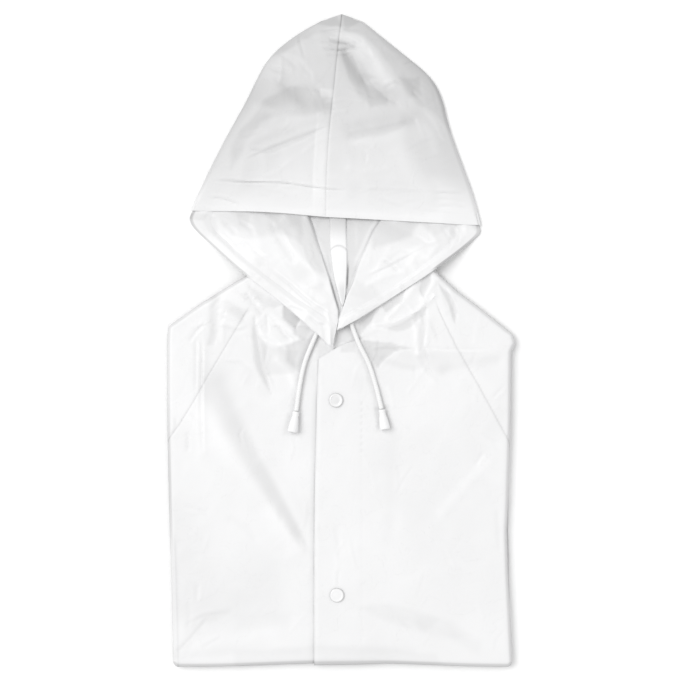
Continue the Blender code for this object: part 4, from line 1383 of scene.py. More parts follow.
@dataclass
class FoldedLayers:
    """The back, the sleeves and the lower half, folded behind the chest in rounded layers."""

    step: float = 3.0
    width: float = 322.0
    inset: float = 2.0
    drop: float = 1.3
    rim_room: float = 1.3
    folds: tuple[float, ...] = (0.0, 0.22, 0.43, 0.60, 0.80, 1.0)
    rings_each: int = 7
    notch: float = 1.9
    peep: float = 4.2
    plain_tone: float = 0.16
    # painted shade: the layers are greyer than the sheet, with a darker copy of its vinyl, as they lie in its
    # shade
    hem_y: float = 34.0
    finish: Vinyl = Vinyl("folded_vinyl", bright=0.80, crackle=0.09, rough=0.42)
    cut: tuple[float, float] = (0.330, 0.380)

    def plan(self) -> tuple[Array, Array]:
        """Lays out rows of places inside the body's outline.

        Returns:
            The places' x in rows, and their y.
        """
        rows = parted(BODY.waist_y + self.inset, BODY.neck_y - self.inset, self.step)
        right, left = BODY.inside(rows, self.inset)
        share = parted(0.0, 1.0, self.step / self.width)
        x = right[:, None] + share[None, :] * (left - right)[:, None]
        return x, np.repeat(rows[:, None], x.shape[1], axis=1)

    def rim_height(self, x: Array, y: Array) -> Array:
        """Height of the rim, where the stack's top meets its side."""
        return BODY.layers_height(x, y) - BODY.fold_radius + self.rim_room

    def underside(self, x: Array, y: Array) -> Array:
        """The lower half, folded up behind, and the yoke past its hem.

        Args:
            x: Places across.
            y: Places along.

        Returns:
            The height above the floor at each point.
        """
        lower = 0.75 * (1.0 - ramp(x, -27.0, -25.4) * ramp(x, 20.0, 17.6))
        hem = ramp(y - self.hem_y, 0.0, 1.4)
        yoke = 1.6 + 0.5 * ramp(0.9 * x + y, 60.0, 62.0)
        creases = small_creases(21, 60, (-150.0, -296.0), (150.0, 60.0), 0.35, 80.0)
        fine = Relief(creases, (Crumple(23, 40.0, 0.3), Crumple(24, 15.0, 0.12, facets=True))).height(x, y)
        return np.maximum(0.0, lower * (1 - hem) + yoke * hem + 0.5 * fine)

    def ring(self, rim: Array, share: float, layer: int, within: float) -> Array:
        """One ring of points round the stack's side.

        Args:
            rim: The stack's outline, in order.
            share: Its height as a share of the stack.
            layer: Which folded layer it is on, from the bottom.
            within: Where in that layer, from 0 at its lower to 1 at its upper side.

        Returns:
            The ring's points.
        """
        side = np.roll(rim, -1, axis=0) - np.roll(rim, 1, axis=0)
        inwards = np.stack([-side[:, 1], side[:, 0]], axis=1)
        inwards /= np.maximum(np.linalg.norm(inwards, axis=1), 1e-9)[:, None]
        x, y = rim[:, 0], rim[:, 1]
        uneven = Crumple(31 + layer, 58.0, 0.5).height(x, y) + Crumple(41 + layer, 17.0, 0.16).height(x, y)
        depth = self.notch * np.abs(2.0 * within - 1.0) ** 3.2 + np.clip(0.5 + uneven, 0.0, 1.2)
        if share < 0.5:
            depth = depth - self.peep * band(y, -200.0, 85.0) * (x > 0)
        wave = Crumple(51 + layer, 34.0, 0.22).height(x, y) * min(1.0, 4 * share * (1 - share) + 0.1)
        place = rim + inwards * depth[:, None]
        place[:, 1] -= BODY.waist_drop(x, y)
        return np.column_stack([place, np.maximum(0.0, share * self.rim_height(x, y) + wave)])

    def rings(self, rim: Array) -> list[Array]:
        """All rings round the stack's side, from the top down.

        Args:
            rim: The stack's outline, in order.

        Returns:
            The rings' points.
        """
        rings = []
        for layer in range(len(self.folds) - 1, 0, -1):
            for n in range(self.rings_each):
                within = 1.0 - (n + 0.5) / self.rings_each
                share = self.folds[layer - 1] + within * (self.folds[layer] - self.folds[layer - 1])
                rings.append(self.ring(rim, share, layer, within))
        return rings

    def build(self) -> Piece:
        """Builds the closed stack of layers.

        Returns:
            The piece.
        """
        x, y = self.plan()
        numbers = numbered(x)
        around = np.concatenate([numbers[0], numbers[1:, -1], numbers[-1, -2::-1], numbers[-2:0:-1, 0]])
        sides = np.minimum(np.minimum(x - x[:, :1], x[:, -1:] - x), np.minimum(y - y[0, 0], y[-1, 0] - y))
        squeeze = 3.0 * ramp(sides, 9.0, 0.0)
        in_x = x * (1.0 - squeeze / 165.0)
        in_y = -120.0 + (y + 120.0) * (1.0 - squeeze / 190.0) - BODY.waist_drop(x, y)
        rim_z, top_z = self.rim_height(x, y), BODY.layers_height(x, y) - self.drop
        top = stacked(in_x, in_y, rim_z + (top_z - rim_z) * ramp(sides, 0.0, 5.0))
        low = stacked(in_x, in_y, self.underside(x, y) * ramp(sides, 0.0, 4.0))
        rings = self.rings(np.column_stack([x.ravel(), y.ravel()])[around])
        starts = 2 * x.size + len(around) * np.arange(len(rings))
        loops = [around, *(start + np.arange(len(around)) for start in starts), around + x.size]
        faces = quads_between(numbers) + quads_between(numbers + x.size, flip=True)
        faces += quads_between([np.append(loop, loop[0]) for loop in loops], flip=True)
        points = np.vstack([top, low, *rings])
        piece = mesh_object("folded_layers_cloth", points, faces, np.full(len(points), self.plain_tone))
        return dress(piece, self.finish.material(), "folded_layers")


# ---------------------------------------------------------------- the hood

CROWN_ROWS = (  # seam x, crown y, back x, back y, then the outline on the wearer's right and left
    (0.6, 307.0, 0.6, 307.0, -19.0, 302.8, 21.2, 302.2),
    (-0.4, 296.0, 0.4, 296.0, -39.6, 291.4, 41.6, 285.8),
    (-2.6, 279.0, 0.2, 279.0, -58.6, 277.4, 62.0, 269.4),
    (-4.4, 262.0, 0.0, 262.0, -72.2, 262.8, 81.0, 253.6),
    (-6.0, 245.0, 0.0, 245.0, -81.6, 246.0, 91.6, 240.2),
    (-7.8, 228.0, 0.0, 228.0, -90.0, 228.6, 98.2, 224.4),
    (-9.8, 210.0, 0.0, 210.0, -99.8, 210.6, 102.0, 208.4),
    (-11.8, 191.0, 0.0, 191.0, -110.4, 191.4, 107.2, 191.2),
    (-13.0, 173.0, 0.0, 173.0, -120.0, 173.0, 114.0, 172.2),
    (-13.9, 157.0, 0.0, 156.0, -127.6, 158.0, 120.0, 156.0),
    (-14.3, 145.0, 0.0, 144.0, -132.4, 147.6, 124.6, 143.6),
    (-14.5, 140.0, 0.0, 138.0, -134.6, 143.0, 126.6, 137.4),
    (-14.7, 128.0, 0.0, 126.0, -139.8, 132.0, 131.2, 121.4),
    (-14.9, 115.0, 0.0, 114.0, -144.2, 121.8, 134.6, 107.6),
)
CHEEK_ROWS = (  # seam x and y, then the outline on the wearer's right and left
    (0.0, 101.0, -144.6, 112.6, 133.0, 100.0),
    (0.2, 88.0, -139.4, 103.2, 126.2, 92.8),
    (0.4, 76.0, -123.4, 88.0, 114.6, 83.2),
    (0.6, 64.0, -107.2, 73.2, 100.2, 72.5),
    (0.6, 54.0, -91.0, 59.5, 86.0, 62.0),
    (0.4, 45.0, -77.0, 48.6, 72.0, 52.6),
    (0.2, 37.0, -62.5, 37.2, 57.0, 43.0),
    (0.0, 30.0, -48.5, 26.0, 42.5, 33.6),
    (-0.8, 24.0, -36.5, 15.5, 29.0, 25.0),
    (-2.2, 17.5, -27.0, 7.0, 16.5, 17.2),
)


class Side(Enum):
    """One half of the hood, by the wearer's side."""

    RIGHT = "right"
    LEFT = "left"

    @property
    def sign(self) -> int:
        """-1 towards the wearer's right, and 1 towards the left."""
        return -1 if self is Side.RIGHT else 1


@dataclass(frozen=True)
class HoodForm:
    """Sizes of the hood, the CAD model's but for its outline."""

    wall: float = 1.2
    rest: float = 0.6
    drape: float = 52.0
    chin: Place = (-8.0, 4.0)
    chin_lift: float = 4.9
    chin_reach: float = 62.0
    edge_gap: float = 2.4
    mouth_gap: float = 13.5
    casing_width: float = 21.0
    chin_right: tuple[tuple[float, ...], ...] = (
        (-4.2, 8.0, -20.5, 1.4),
        (-6.2, -1.0, -15.5, -3.6),
        (-7.6, -8.6, -11.6, -8.0),
    )
    chin_left: tuple[tuple[float, ...], ...] = ((-2.8, 12.5, 7.0, 12.2), (-3.9, 7.0, 0.6, 8.4))
    pleats: tuple[Crease, ...] = (
        lap(1.4, 2.8, 42.0,
            (-37, 132), (-31.2, 114), (-27.6, 104), (-23.6, 90), (-19.4, 78.7), (-14.4, 64),
            (-11.4, 55), (-7, 39), (-3, 25.6), (-3, 16),
        ),
        lap(2.0, 2.2, 42.0,
            (43, 122), (37, 110), (33.4, 104.7), (30.4, 98.5), (26.8, 89.9), (23.6, 82.5), (20, 75),
            (15.8, 64), (12, 51.6), (6.2, 39), (1.6, 25.6), (-1.6, 16),
        ),
    )
    pleat_groove: float = 0.4

    def floor(self, x: Array, y: Array) -> Array:
        """The hood's underside: on the sheet over the body, and on the floor past its edge.

        Args:
            x: Places across.
            y: Places along.

        Returns:
            Its height at each point.
        """
        on_body = BODY.layers_height(x, np.minimum(y, BODY.neck_y)) + BODY.gap + BODY.wall + self.rest
        near_chin = ramp(np.hypot(x - self.chin[0], y - self.chin[1]), self.chin_reach, 0.0)
        on_body = on_body + self.chin_lift * np.minimum(1.0, 1.9 * near_chin)
        return on_body * ramp(BODY.outside(x, y), 1.0 + self.drape, 1.0)

    def past_pleat(self, pleat: Crease, x: Array, y: Array) -> Array:
        """Where points lie beside a pleat's line.

        Args:
            pleat: The pleat.
            x: Places across.
            y: Places along.

        Returns:
            The distance from it towards its cheek, and below zero towards the middle.
        """
        line = np.array(pleat.line)[::-1]
        return 0.97 * (x - np.interp(y, line[:, 1], line[:, 0])) * (1 if pleat.line[0][0] > 0 else -1)

    def pleat_height(self, x: Array, y: Array) -> Array:
        """The cheeks' lap over the hood's centre back, steep towards the middle.

        Args:
            x: Places across.
            y: Places along.

        Returns:
            Its height at each point.
        """
        height = np.zeros(x.shape)
        for pleat in self.pleats:
            outwards = self.past_pleat(pleat, x, y)
            top, foot = pleat.line[0][1], pleat.line[-1][1]
            along = (top - y) / (top - foot)
            fade = ramp(along, -0.5, 0.0) * ramp(along, 1.15, 0.85)
            reach = np.where(outwards > 0, pleat.spread, pleat.width)
            height += pleat.rise * fade * ramp(np.abs(outwards) / reach, 1.0, 0.0)
            height -= self.pleat_groove * fade * band(outwards, -1.7, 1.2)
        return height

    def back(self, x: Array, y: Array) -> Array:
        """Height of the back wall's face, on the hood's hollow side."""
        return self.floor(x, y) + self.wall + self.pleat_height(x, y)


HOOD = HoodForm()

CROWN_CREASES = (
    roll(7, -1.5, (5, 268), (22, 246)),
    roll(8, -1.3, (22, 246), (50, 227)),
    roll(9, 1.3, (14, 286), (54, 242)),
    roll(9, -0.5, (-72, 246), (-22, 240)),
    roll(5, -0.6, (-98, 176), (-22, 203)),
    roll(7, -1.3, (10, 197), (74, 210)),
    roll(9, 1.0, (20, 186), (92, 196)),
    furrow(1.0, 1.1, (-130, 150), (-92, 147.4), (-56, 146.4), (-18, 141), (2, 139.6), (10, 146)),
    furrow(1.3, 0.22, (6, 141), (60, 139), (124, 136)),
    furrow(1.0, 0.95, (-127, 134), (-112, 132), (-96, 127)),
    furrow(1.1, 0.7, (88, 137), (104, 138), (118, 136)),
    furrow(1.1, 0.4, (84, 131), (100, 132), (120, 129)),
    furrow(1.1, 0.65, (90, 125), (108, 126), (124, 122)),
    furrow(1.2, 0.3, (74, 121), (96, 119), (116, 118)),
    furrow(1.3, 0.55, (-97, 166), (-61, 181), (-28, 193), (-9, 200)),
    roll(3.4, -0.8, (8.6, 189.5), (35, 195.5), (69, 205)),
    roll(5.0, -0.8, (4, 270), (16, 244), (30, 226), (43, 229)),
    roll(5.0, 0.9, (1.4, 289), (20, 282), (33, 268), (46, 240)),
    furrow(1.6, 0.7, (40, 236), (52, 242), (58, 238)),
    roll(1.8, -0.8, (44, 226), (52, 222)),
    roll(7.0, -1.1, (-52, 238), (-34, 222), (-12, 218)),
    roll(2.0, 0.7, (-20, 212), (-14, 214), (4, 214)),
    furrow(1.4, 0.9, (-20, 275), (-4, 272), (16, 276)),
    furrow(1.4, 0.8, (-12, 282), (4, 279), (20, 272)),
    furrow(1.2, 0.6, (-16, 268), (0, 268), (12, 270)),
    furrow(1.6, 0.9, (-24, 290), (-4, 291.5), (24, 291)),
    roll(4.0, 0.6, (-26, 297), (0, 296), (26, 294)),
    furrow(1.3, 0.8, (58, 259), (66, 262), (74, 258)),
    furrow(1.8, 0.8, (66, 234), (74, 226), (80, 222)),
    roll(4.0, -0.9, (60, 246), (70, 236)),
    furrow(2.0, 0.3, (-40, 262), (-30, 250), (-26, 240)),
    furrow(1.6, 0.3, (-66, 248), (-50, 236), (-44, 238)),
    roll(6.0, 0.8, (-82, 220), (-60, 214), (-40, 216)),
    roll(6.0, -0.7, (-92, 196), (-70, 206)),
    roll(5.0, 0.9, (76, 206), (86, 196), (92, 178)),
    furrow(1.4, 0.4, (20, 178), (24, 172), (22, 164)),
    roll(3.0, 0.4, (8, 160), (26, 157), (44, 160)),
    roll(7.0, 0.7, (56, 176), (70, 150), (84, 136)),
    roll(3.0, 0.3, (-86, 282), (-44, 268), (-34, 262)),
)

# facets: dents with painted shade on them, or painted highlight where the shade is below zero
CROWN_PAINTED_FACETS = (
    painted_facet(0.35, 0.17, 6.0,
        (-52, 237), (-30, 239), (-10, 231), (-9, 213), (-35, 211), (-52, 211), (-76, 203), (-88, 186),
        (-104, 160), (-104, 182), (-86, 208), (-72, 226),
    ),
    painted_facet(0.0, 0.18, 5.0,
        (-66, 269), (-50, 282), (-28, 296), (-4, 308), (1, 296), (-15, 291), (-35, 282), (-54, 269),
    ),
    painted_facet(0.2, 0.2, 4.5,
        (1, 308), (16, 305), (36, 290), (56, 274), (74, 258), (92, 240), (102, 217), (106, 190),
        (94, 206), (82, 217), (70, 222), (60, 234), (53, 240), (48, 255), (38, 270), (24, 284),
        (13, 290), (4, 292),
    ),
    painted_facet(0.4, 0.14, 5.0, (55, 246), (74, 248), (77, 229), (63, 226)),
    painted_facet(0.45, 0.2, 3.5,
        (-1, 272), (12, 268), (17, 253), (25, 240), (37, 233), (45, 225), (44, 219), (28, 219),
        (16, 231), (8, 242), (3, 255),
    ),
    painted_facet(0.1, 0.05, 3.0, (22, 236), (38, 232), (46, 222), (28, 218)),
    painted_facet(-0.2, -0.1, 4.0,
        (-14, 292), (-4, 296), (8, 290), (20, 285), (30, 275), (37, 265), (47, 247), (51, 236),
        (38, 239), (26, 249), (18, 264), (12, 277), (2, 284),
    ),
    painted_facet(0.35, 0.18, 1.8, (-12, 284), (14, 281), (16, 277), (-12, 279)),
    painted_facet(0.3, 0.14, 1.8, (-13, 277), (4, 277), (6, 271), (-10, 273)),
    painted_facet(-0.2, -0.03, 6.0,
        (-70, 262), (-35, 281), (-15, 277), (-10, 260), (-18, 243), (-50, 241), (-72, 248),
    ),
    painted_facet(-0.3, -0.22, 2.5, (-19, 236), (-7, 234), (-7, 228), (-18, 228)),
    painted_facet(0.4, 0.12, 3.0, (6, 194), (17, 196), (39, 200), (62, 206), (64, 201), (39, 190), (14, 186)),
    painted_facet(0.3, 0.14, 12.0,
        (60, 208), (78, 211), (99, 193), (112, 172), (115, 152), (84, 152), (71, 173), (61, 190),
    ),
    painted_facet(-0.3, -0.12, 3.0, (80, 214), (88, 207), (99, 186), (94, 188)),
    painted_facet(0.4, 0.13, 2.0, (-86, 177), (-60, 185), (-35, 194), (-12, 200), (-35, 187), (-65, 175)),
    painted_facet(-0.2, -0.06, 4.0, (-50, 209), (-16, 209), (-20, 199), (-40, 194), (-54, 200)),
    painted_facet(0.0, -0.05, 8.0, (16, 186), (54, 194), (64, 172), (84, 150), (10, 150)),
    painted_facet(0.0, -0.08, 9.0, (90, 146), (124, 140), (128, 116), (92, 120)),
    painted_facet(0.0, 0.07, 3.5, (-44, 237), (-19, 235), (-18, 227), (-9, 226), (-8, 212), (-44, 212)),
    painted_facet(0.0, 0.16, 3.0, (-26, 298), (-2, 312), (22, 302), (8, 294), (-8, 295)),
)

CHEEK_CREASES = (
    furrow(1.5, 0.9, (-69, 66), (-48.5, 49.9), (-35.2, 37.7), (-23.1, 28.6), (-5, 18.5)),
    furrow(1.4, 0.7, (-31, 20), (-22, 12.5), (-14, 11)),
    furrow(2.0, 0.5, (-60, 40), (-44, 27), (-32, 22)),
    furrow(1.6, 0.4, (-86, 62), (-70, 50)),
    furrow(1.5, 0.6, (-120, 100), (-108, 90), (-98, 78)),
    furrow(1.8, 0.5, (-116, 112), (-104, 104), (-100, 96)),
    furrow(1.8, 0.6, (-98, 110), (-86, 104), (-84, 96)),
    roll(3.2, -0.9, (-66, 108), (-58, 92), (-46, 74)),
    furrow(1.4, 0.6, (-60, 106), (-50, 86), (-42, 72)),
    roll(5.0, 0.8, (-42, 104), (-34, 82), (-22, 54)),
    furrow(1.8, 0.5, (-84, 84), (-74, 76), (-66, 74)),
    furrow(1.4, 0.6, (22.5, 56), (44, 66), (66, 78), (86, 89)),
    furrow(1.4, 0.7, (38, 74), (47, 69), (56, 62)),
    furrow(1.4, 0.3, (54, 24), (64, 32), (56, 56)),
    roll(3.0, 0.8, (26, 50), (42, 58), (60, 62)),
    furrow(1.6, 0.6, (70, 96), (84, 88), (96, 90)),
    furrow(1.4, 0.7, (96, 104), (104, 94), (102, 82)),
    furrow(1.4, 0.7, (106, 106), (112, 96), (110, 88)),
    roll(3.0, 0.8, (86, 100), (92, 88), (84, 78)),
    roll(3.4, 0.7, (74, 84), (66, 70), (72, 62)),
    roll(3.0, 0.5, (46, 84), (40, 72), (32, 62)),
    roll(2.6, 0.5, (15, 20), (26, 28), (44, 36)),
    furrow(1.2, 0.5, (6, 22), (16, 26), (24, 24)),
    roll(6.0, -0.9, (40, 108), (60, 96), (72, 92)),
    roll(2.2, 0.9, (-13, 24), (-10, 8), (-11, -6)),
    roll(1.6, -0.6, (-17, 12), (-15, 0), (-13, -6)),
)

# facets: dents with painted shade on them, or painted highlight where the shade is below zero
CHEEK_PAINTED_FACETS = (
    painted_facet(0.0, 0.22, 6.0, (-122, 120), (-58, 119), (-58, 100), (-84, 94), (-104, 98)),
    painted_facet(0.2, 0.2, 5.5, (-62, 104), (-48, 118), (-26, 118), (-21, 92), (-15, 62), (-24, 64), (-40, 82)),
    painted_facet(0.3, 0.22, 3.0, (-100, 118), (-86, 117), (-89, 106), (-97, 109)),
    painted_facet(0.4, 0.26, 5.0, (-72, 118), (-38, 116), (-36, 88), (-50, 96), (-58, 104)),
    painted_facet(0.3, 0.26, 7.0, (-50, 116), (-28, 114), (-16, 78), (-9, 54), (-22, 60), (-37, 77)),
    painted_facet(0.2, 0.14, 3.0, (-80, 76), (-72, 76), (-70, 68), (-78, 66)),
    painted_facet(0.0, 0.14, 6.0, (-50, 68), (-38, 70), (-24, 59), (-14, 50), (-20, 42), (-42, 54)),
    painted_facet(0.0, 0.24, 3.0, (-144, 120), (-128, 118), (-132, 112), (-144, 113)),
    painted_facet(0.2, 0.18, 3.0, (-126, 116), (-119, 116), (-117, 100), (-122, 98)),
    painted_facet(0.3, 0.36, 6.0, (27, 101), (35, 112), (74, 110), (68, 97), (48, 90), (30, 84)),
    painted_facet(0.3, 0.2, 4.0, (76, 109), (104, 108), (88, 95)),
    painted_facet(0.3, 0.24, 2.5, (104, 108), (110, 108), (108, 95), (102, 93)),
    painted_facet(0.0, 0.2, 3.0, (118, 110), (134, 109), (128, 102)),
    painted_facet(-0.2, -0.12, 5.0, (62, 84), (76, 88), (80, 76), (66, 72)),
    painted_facet(-0.2, -0.12, 5.0, (34, 66), (48, 66), (50, 55), (36, 54)),
    painted_facet(0.2, 0.12, 5.0, (16, 54), (34, 46), (40, 36), (24, 36), (10, 40)),
    painted_facet(0.2, 0.12, 5.0, (-16, 50), (-6, 36), (-10, 26), (-30, 36), (-34, 46)),
)


def cheek_painted_shade(y: Array) -> Array:
    """Plain grey of the cheeks, with painted shade that grows towards the hollow inside the hood."""
    return 0.10 + 0.12 * ramp(y, 92.0, 112.0)


@dataclass
class HoodHalf:
    """One side of the hood: crown and back are one wall, folded at the outline, open at the mouth."""

    side: Side
    step: float = 1.75
    columns: int = 78
    round_steps: int = 9
    cloth: float = 1.1
    seam_gap: float = 0.14
    pleat_column: float = 0.24
    cut: tuple[float, float] = (0.225, 0.390)
    area: float = 0.0458
    crown_relief: Relief = Relief(
        CROWN_CREASES
        + small_creases(61, 30, (-120.0, 122.0), (118.0, 200.0), 0.3, 10.0)
        + small_creases(62, 34, (-76.0, 196.0), (92.0, 300.0), 0.5, 140.0),
        (Crumple(13, 44.0, 0.5), Crumple(15, 20.0, 0.22, facets=True), Crumple(18, 9.0, 0.08)),
    )
    back_relief: Relief = Relief(
        CHEEK_CREASES + small_creases(63, 44, (-136.0, 30.0), (126.0, 116.0), 0.34, 90.0),
        (Crumple(16, 30.0, 0.3), Crumple(17, 13.0, 0.12, facets=True)),
    )

    @property
    def right(self) -> bool:
        """True for the half on the wearer's right."""
        return self.side is Side.RIGHT

    @property
    def pleat(self) -> Crease:
        """The pleat on this half's cheek."""
        return HOOD.pleats[0 if self.right else 1]

    def crown_edge(self) -> Array:
        """Where the crown's rows end, in from the outline by the round of the folded edge.

        Returns:
            A place for each row.
        """
        first = 4 if self.right else 6
        places = [Vector(CROWN_ROWS[0][:2])] + [Vector(row[first : first + 2]) for row in CROWN_ROWS]
        moved = []
        for before, place, after in zip(places, places[1:], places[2:] + places[-1:]):
            across = (after - before).normalized().orthogonal()
            moved.append(place - across * self.side.sign * (HOOD.edge_gap / 2 + HOOD.wall))
        return np.array(moved)

    def tables(self) -> tuple[Array, Array]:
        """Gathers the x and y of seam and edge, row by row.

        Returns:
            The crown's rows, and the back's, which go on down the cheek.
        """
        edge, rows = self.crown_edge(), np.array(CROWN_ROWS)
        cheek = np.array(CHEEK_ROWS)[:, [0, 1, 2, 3] if self.right else [0, 1, 4, 5]]
        chin = np.array(HOOD.chin_right if self.right else HOOD.chin_left)
        crown = np.hstack([rows[:, 0:2], edge])
        back = np.vstack([np.hstack([rows[:, 2:4], edge]), cheek, chin])
        for table in (crown, back):
            table[:, 0] += self.seam_gap / 2 * self.side.sign
        return crown, back

    def fine_rows(self, table: Array) -> Array:
        """Parts a table's rows into finer ones.

        Args:
            table: The x and y of each row's two ends.

        Returns:
            Fractional row numbers that are about a step apart.
        """
        places = [np.array([0.0])]
        for n, (low, high) in enumerate(zip(table, table[1:])):
            longest = max(math.dist(low[:2], high[:2]), math.dist(low[2:], high[2:]))
            count = max(2, math.ceil(longest / self.step))
            places.append(n + np.arange(1, count + 1) / count)
        return np.concatenate(places)

    def pleat_share(self, ends: Array) -> Array:
        """Finds where the pleat's line crosses the back's rows.

        Args:
            ends: The x and y of each row's two ends.

        Returns:
            The share of each row, from 0 at the seam to 1 at the edge.
        """
        to_line = HOOD.past_pleat(self.pleat, ends[:, 0], ends[:, 1])
        share = np.abs(to_line) / np.maximum(np.abs(ends[:, 2] - ends[:, 0]), 1.0)
        to_pleat = (share - self.pleat_column) * ramp(ends[:, 1], 150.0, 120.0)
        return np.clip(self.pleat_column + to_pleat, 0.08, 0.6)

    def crown(self, rows: Array, table: Array) -> tuple[Array, Array]:
        """The crown's inner face and its painted shade.

        Args:
            rows: Fractional row numbers.
            table: The crown's rows.

        Returns:
            Rows of points, and their painted shade.
        """
        ends, share = curve_through(table, rows), np.linspace(0.0, 1.0, self.columns)[None, :]
        x, y = between(ends, share)
        if self.right:  # the brow is a little bowed
            y = y + 2.0 * np.sin(math.pi * share) * ramp(rows[:, None], 9.0, 13.0)
        down = np.minimum(1.0, 1.7 * rows[:, None] / (len(CROWN_ROWS) - 1))
        swell = (HOOD.mouth_gap - HOOD.edge_gap) * np.sin(down * math.pi / 2) ** 0.8
        from_seam = x - ends[:, 0:1]
        from_brow = y - table[-1, 1] - (ends[-1, 3] - table[-1, 1]) * share
        hem = 0.8 * np.sin(np.clip(from_brow / 25.0, 0.0, 1.0) * math.pi)
        hem = hem - 0.9 * ramp(from_brow, 2.6, 0.0) - 9.4 * ramp(from_brow, 36.0, 0.0)
        fine = self.crown_relief.height(x, y) * (1.0 - share**9) * ramp(rows[:, None], 0.0, 1.6)
        dent, facet_shade = facet_dent_and_shade(CROWN_PAINTED_FACETS, x, y)
        z = HOOD.wall + HOOD.floor(x, y) + HOOD.edge_gap + swell * (1.0 - share**2.4) ** 0.75
        z = z + HOOD.pleat_height(x, y) * share**8 + fine - dent + hem * (1.0 - share**6)
        z = z - 0.55 * band(from_seam, 0.0, 1.0)
        if self.right:  # the seam's allowance is welded down on this side
            z = z + 0.25 * ramp(from_seam, -12.0, -11.1) * ramp(y, 215.0, 195.0)
        from_edge = (1.0 - share) * np.abs(ends[:, 2:3] - ends[:, 0:1])
        # painted shade on the facets and in the creases' valleys, painted highlight on their ridges
        tone = facet_shade - 0.10 * fine + self.crown_painted_shade(y, share, from_seam, from_edge, from_brow)
        return np.stack([x, y, z], axis=2), tone

    def crown_painted_shade(
        self, y: Array, share: Array, from_seam: Array, from_edge: Array, from_brow: Array
    ) -> Array:
        """Painted shade on the crown, darker towards the tip and the folded edge and lighter by the brow.

        Its seam has a dark line; on the right side a patch is greyer and the welded allowance lighter.

        Args:
            y: Places along.
            share: Their share of the way from the seam to the edge.
            from_seam: Their distance from the seam, across.
            from_edge: Their distance from the folded edge.
            from_brow: Their distance from the mouth's edge.

        Returns:
            The painted shade at each point.
        """
        seam = band(from_seam, 0.0, 0.8) * (0.22 + 0.30 * ramp(y, 170.0, 215.0)) * ramp(y, 112.0, 118.0)
        tone = 0.42 + 0.42 * ramp(y, 130.0, 270.0) + 0.12 * ramp(share, 0.75, 1.0) + seam
        tone = tone - 0.37 * ramp(from_brow, 46.0, 0.0)
        if not self.right:
            return tone + 0.22 * ramp(from_edge, 3.4, 1.2) * ramp(y, 285.0, 225.0)
        tone = tone + 0.26 * ramp(share, 0.25, 0.75) * ramp(y, 118.0, 148.0) * ramp(y, 262.0, 222.0)
        allowance = ramp(from_seam, -12.5, -11.5) * ramp(y, 205.0, 195.0)
        return tone + 0.1 * ramp(from_edge, 2.5, 0.0) - 0.16 * allowance

    def back(self, rows: Array, table: Array) -> tuple[Array, Array]:
        """The back's inner face, which the mouth shows, and its painted shade.

        Args:
            rows: Fractional row numbers.
            table: The back's rows.

        Returns:
            Rows of points, and their painted shade.
        """
        ends, column = curve_through(table, rows), np.linspace(0.0, 1.0, self.columns)[None, :]
        pleat, at = self.pleat_share(ends)[:, None], self.pleat_column
        share = np.where(column < at, column / at * pleat, pleat + (column - at) / (1 - at) * (1 - pleat))
        x, y = between(ends, share)
        seen = ramp(rows[:, None], 8.0, 12.0)
        fine = self.back_relief.height(x, y) * seen * (1.0 - share**10)
        dent, facet_shade = facet_dent_and_shade(CHEEK_PAINTED_FACETS, x, y)
        z = HOOD.back(x, y) + np.maximum(fine - dent, -0.8)
        past = HOOD.past_pleat(self.pleat, x, y)
        middle = ramp(past, 0.0, -1.2) * ramp(y, 20.0, 40.0)
        # painted shade on the facets, in the strip between the pleats and in the creases' valleys, painted
        # highlight on ridges
        tone = cheek_painted_shade(y) + facet_shade * (1.0 - middle) + 0.42 * middle - 0.12 * fine
        if self.right:
            high, low = ramp(y, 80.0, 106.0), ramp(y, 60.0, 48.0)
            dark, wide = 0.1 + 0.42 * high + 0.8 * low, 1.0 + 0.8 * high + 0.3 * low
        else:
            dark, wide = 0.05 + 0.45 * ramp(y, 76.0, 96.0), 0.8 + 0.2 * ramp(y, 80.0, 106.0)
            # painted highlight beside the pleat and by the tape, and a painted shadow in the slit beside the
            # tape
            tone = tone - 0.3 * band(past, -4.5, 2.0) * ramp(y, 62.0, 76.0)
            tone = tone - 0.12 * band(x, 14.5, 1.6) * ramp(y, 80.0, 90.0)
            slit = np.interp(y, (33.0, 38.0, 45.0, 54.0, 66.0, 80.0), (3.4, 4.3, 5.1, 5.7, 6.2, 6.4))
            tone = tone + 1.3 * ramp(y, 76.0, 62.0) * ramp(y, 42.0, 51.0) * band(x - slit, 0.5, 0.9)
        # painted shadow in the pleat's groove
        groove_shadow = dark * band(past, -1.2, wide) * seen * ramp(y, 130.0, 120.0)
        return np.stack([x, y, z], axis=2), tone + groove_shadow

    def outline_of(self, grid: Array) -> Array:
        """The first row and the last column of the crown or back, where the two are joined."""
        return np.concatenate([grid[0], grid[1:, -1]])

    def rounded_edge(self, upper: Array, lower: Array) -> list[Array]:
        """Rolls the wall over from the crown to the back.

        Args:
            upper: Points along the crown's outline.
            lower: Points along the back's, below them.

        Returns:
            Rows of points round the edge, from the crown down.
        """
        run = np.vstack([upper[1:] - upper[:-1], upper[-1:] - upper[-2:-1]])
        run[1:-1] = upper[2:] - upper[:-2]
        out = np.stack([-run[:, 1], run[:, 0]], axis=1) * self.side.sign
        out /= np.maximum(np.linalg.norm(out, axis=1), 1e-9)[:, None]
        out[0] = (0.0, 1.0)
        middle, radius = (upper + lower) / 2, (upper[:, 2:] - lower[:, 2:]) / 2
        rounds = []
        for n in range(1, self.round_steps):
            turn = math.pi / 2 - math.pi * n / self.round_steps
            step = np.column_stack([out * math.cos(turn), np.full(len(out), math.sin(turn))])
            rounds.append(middle + radius * step)
        return rounds

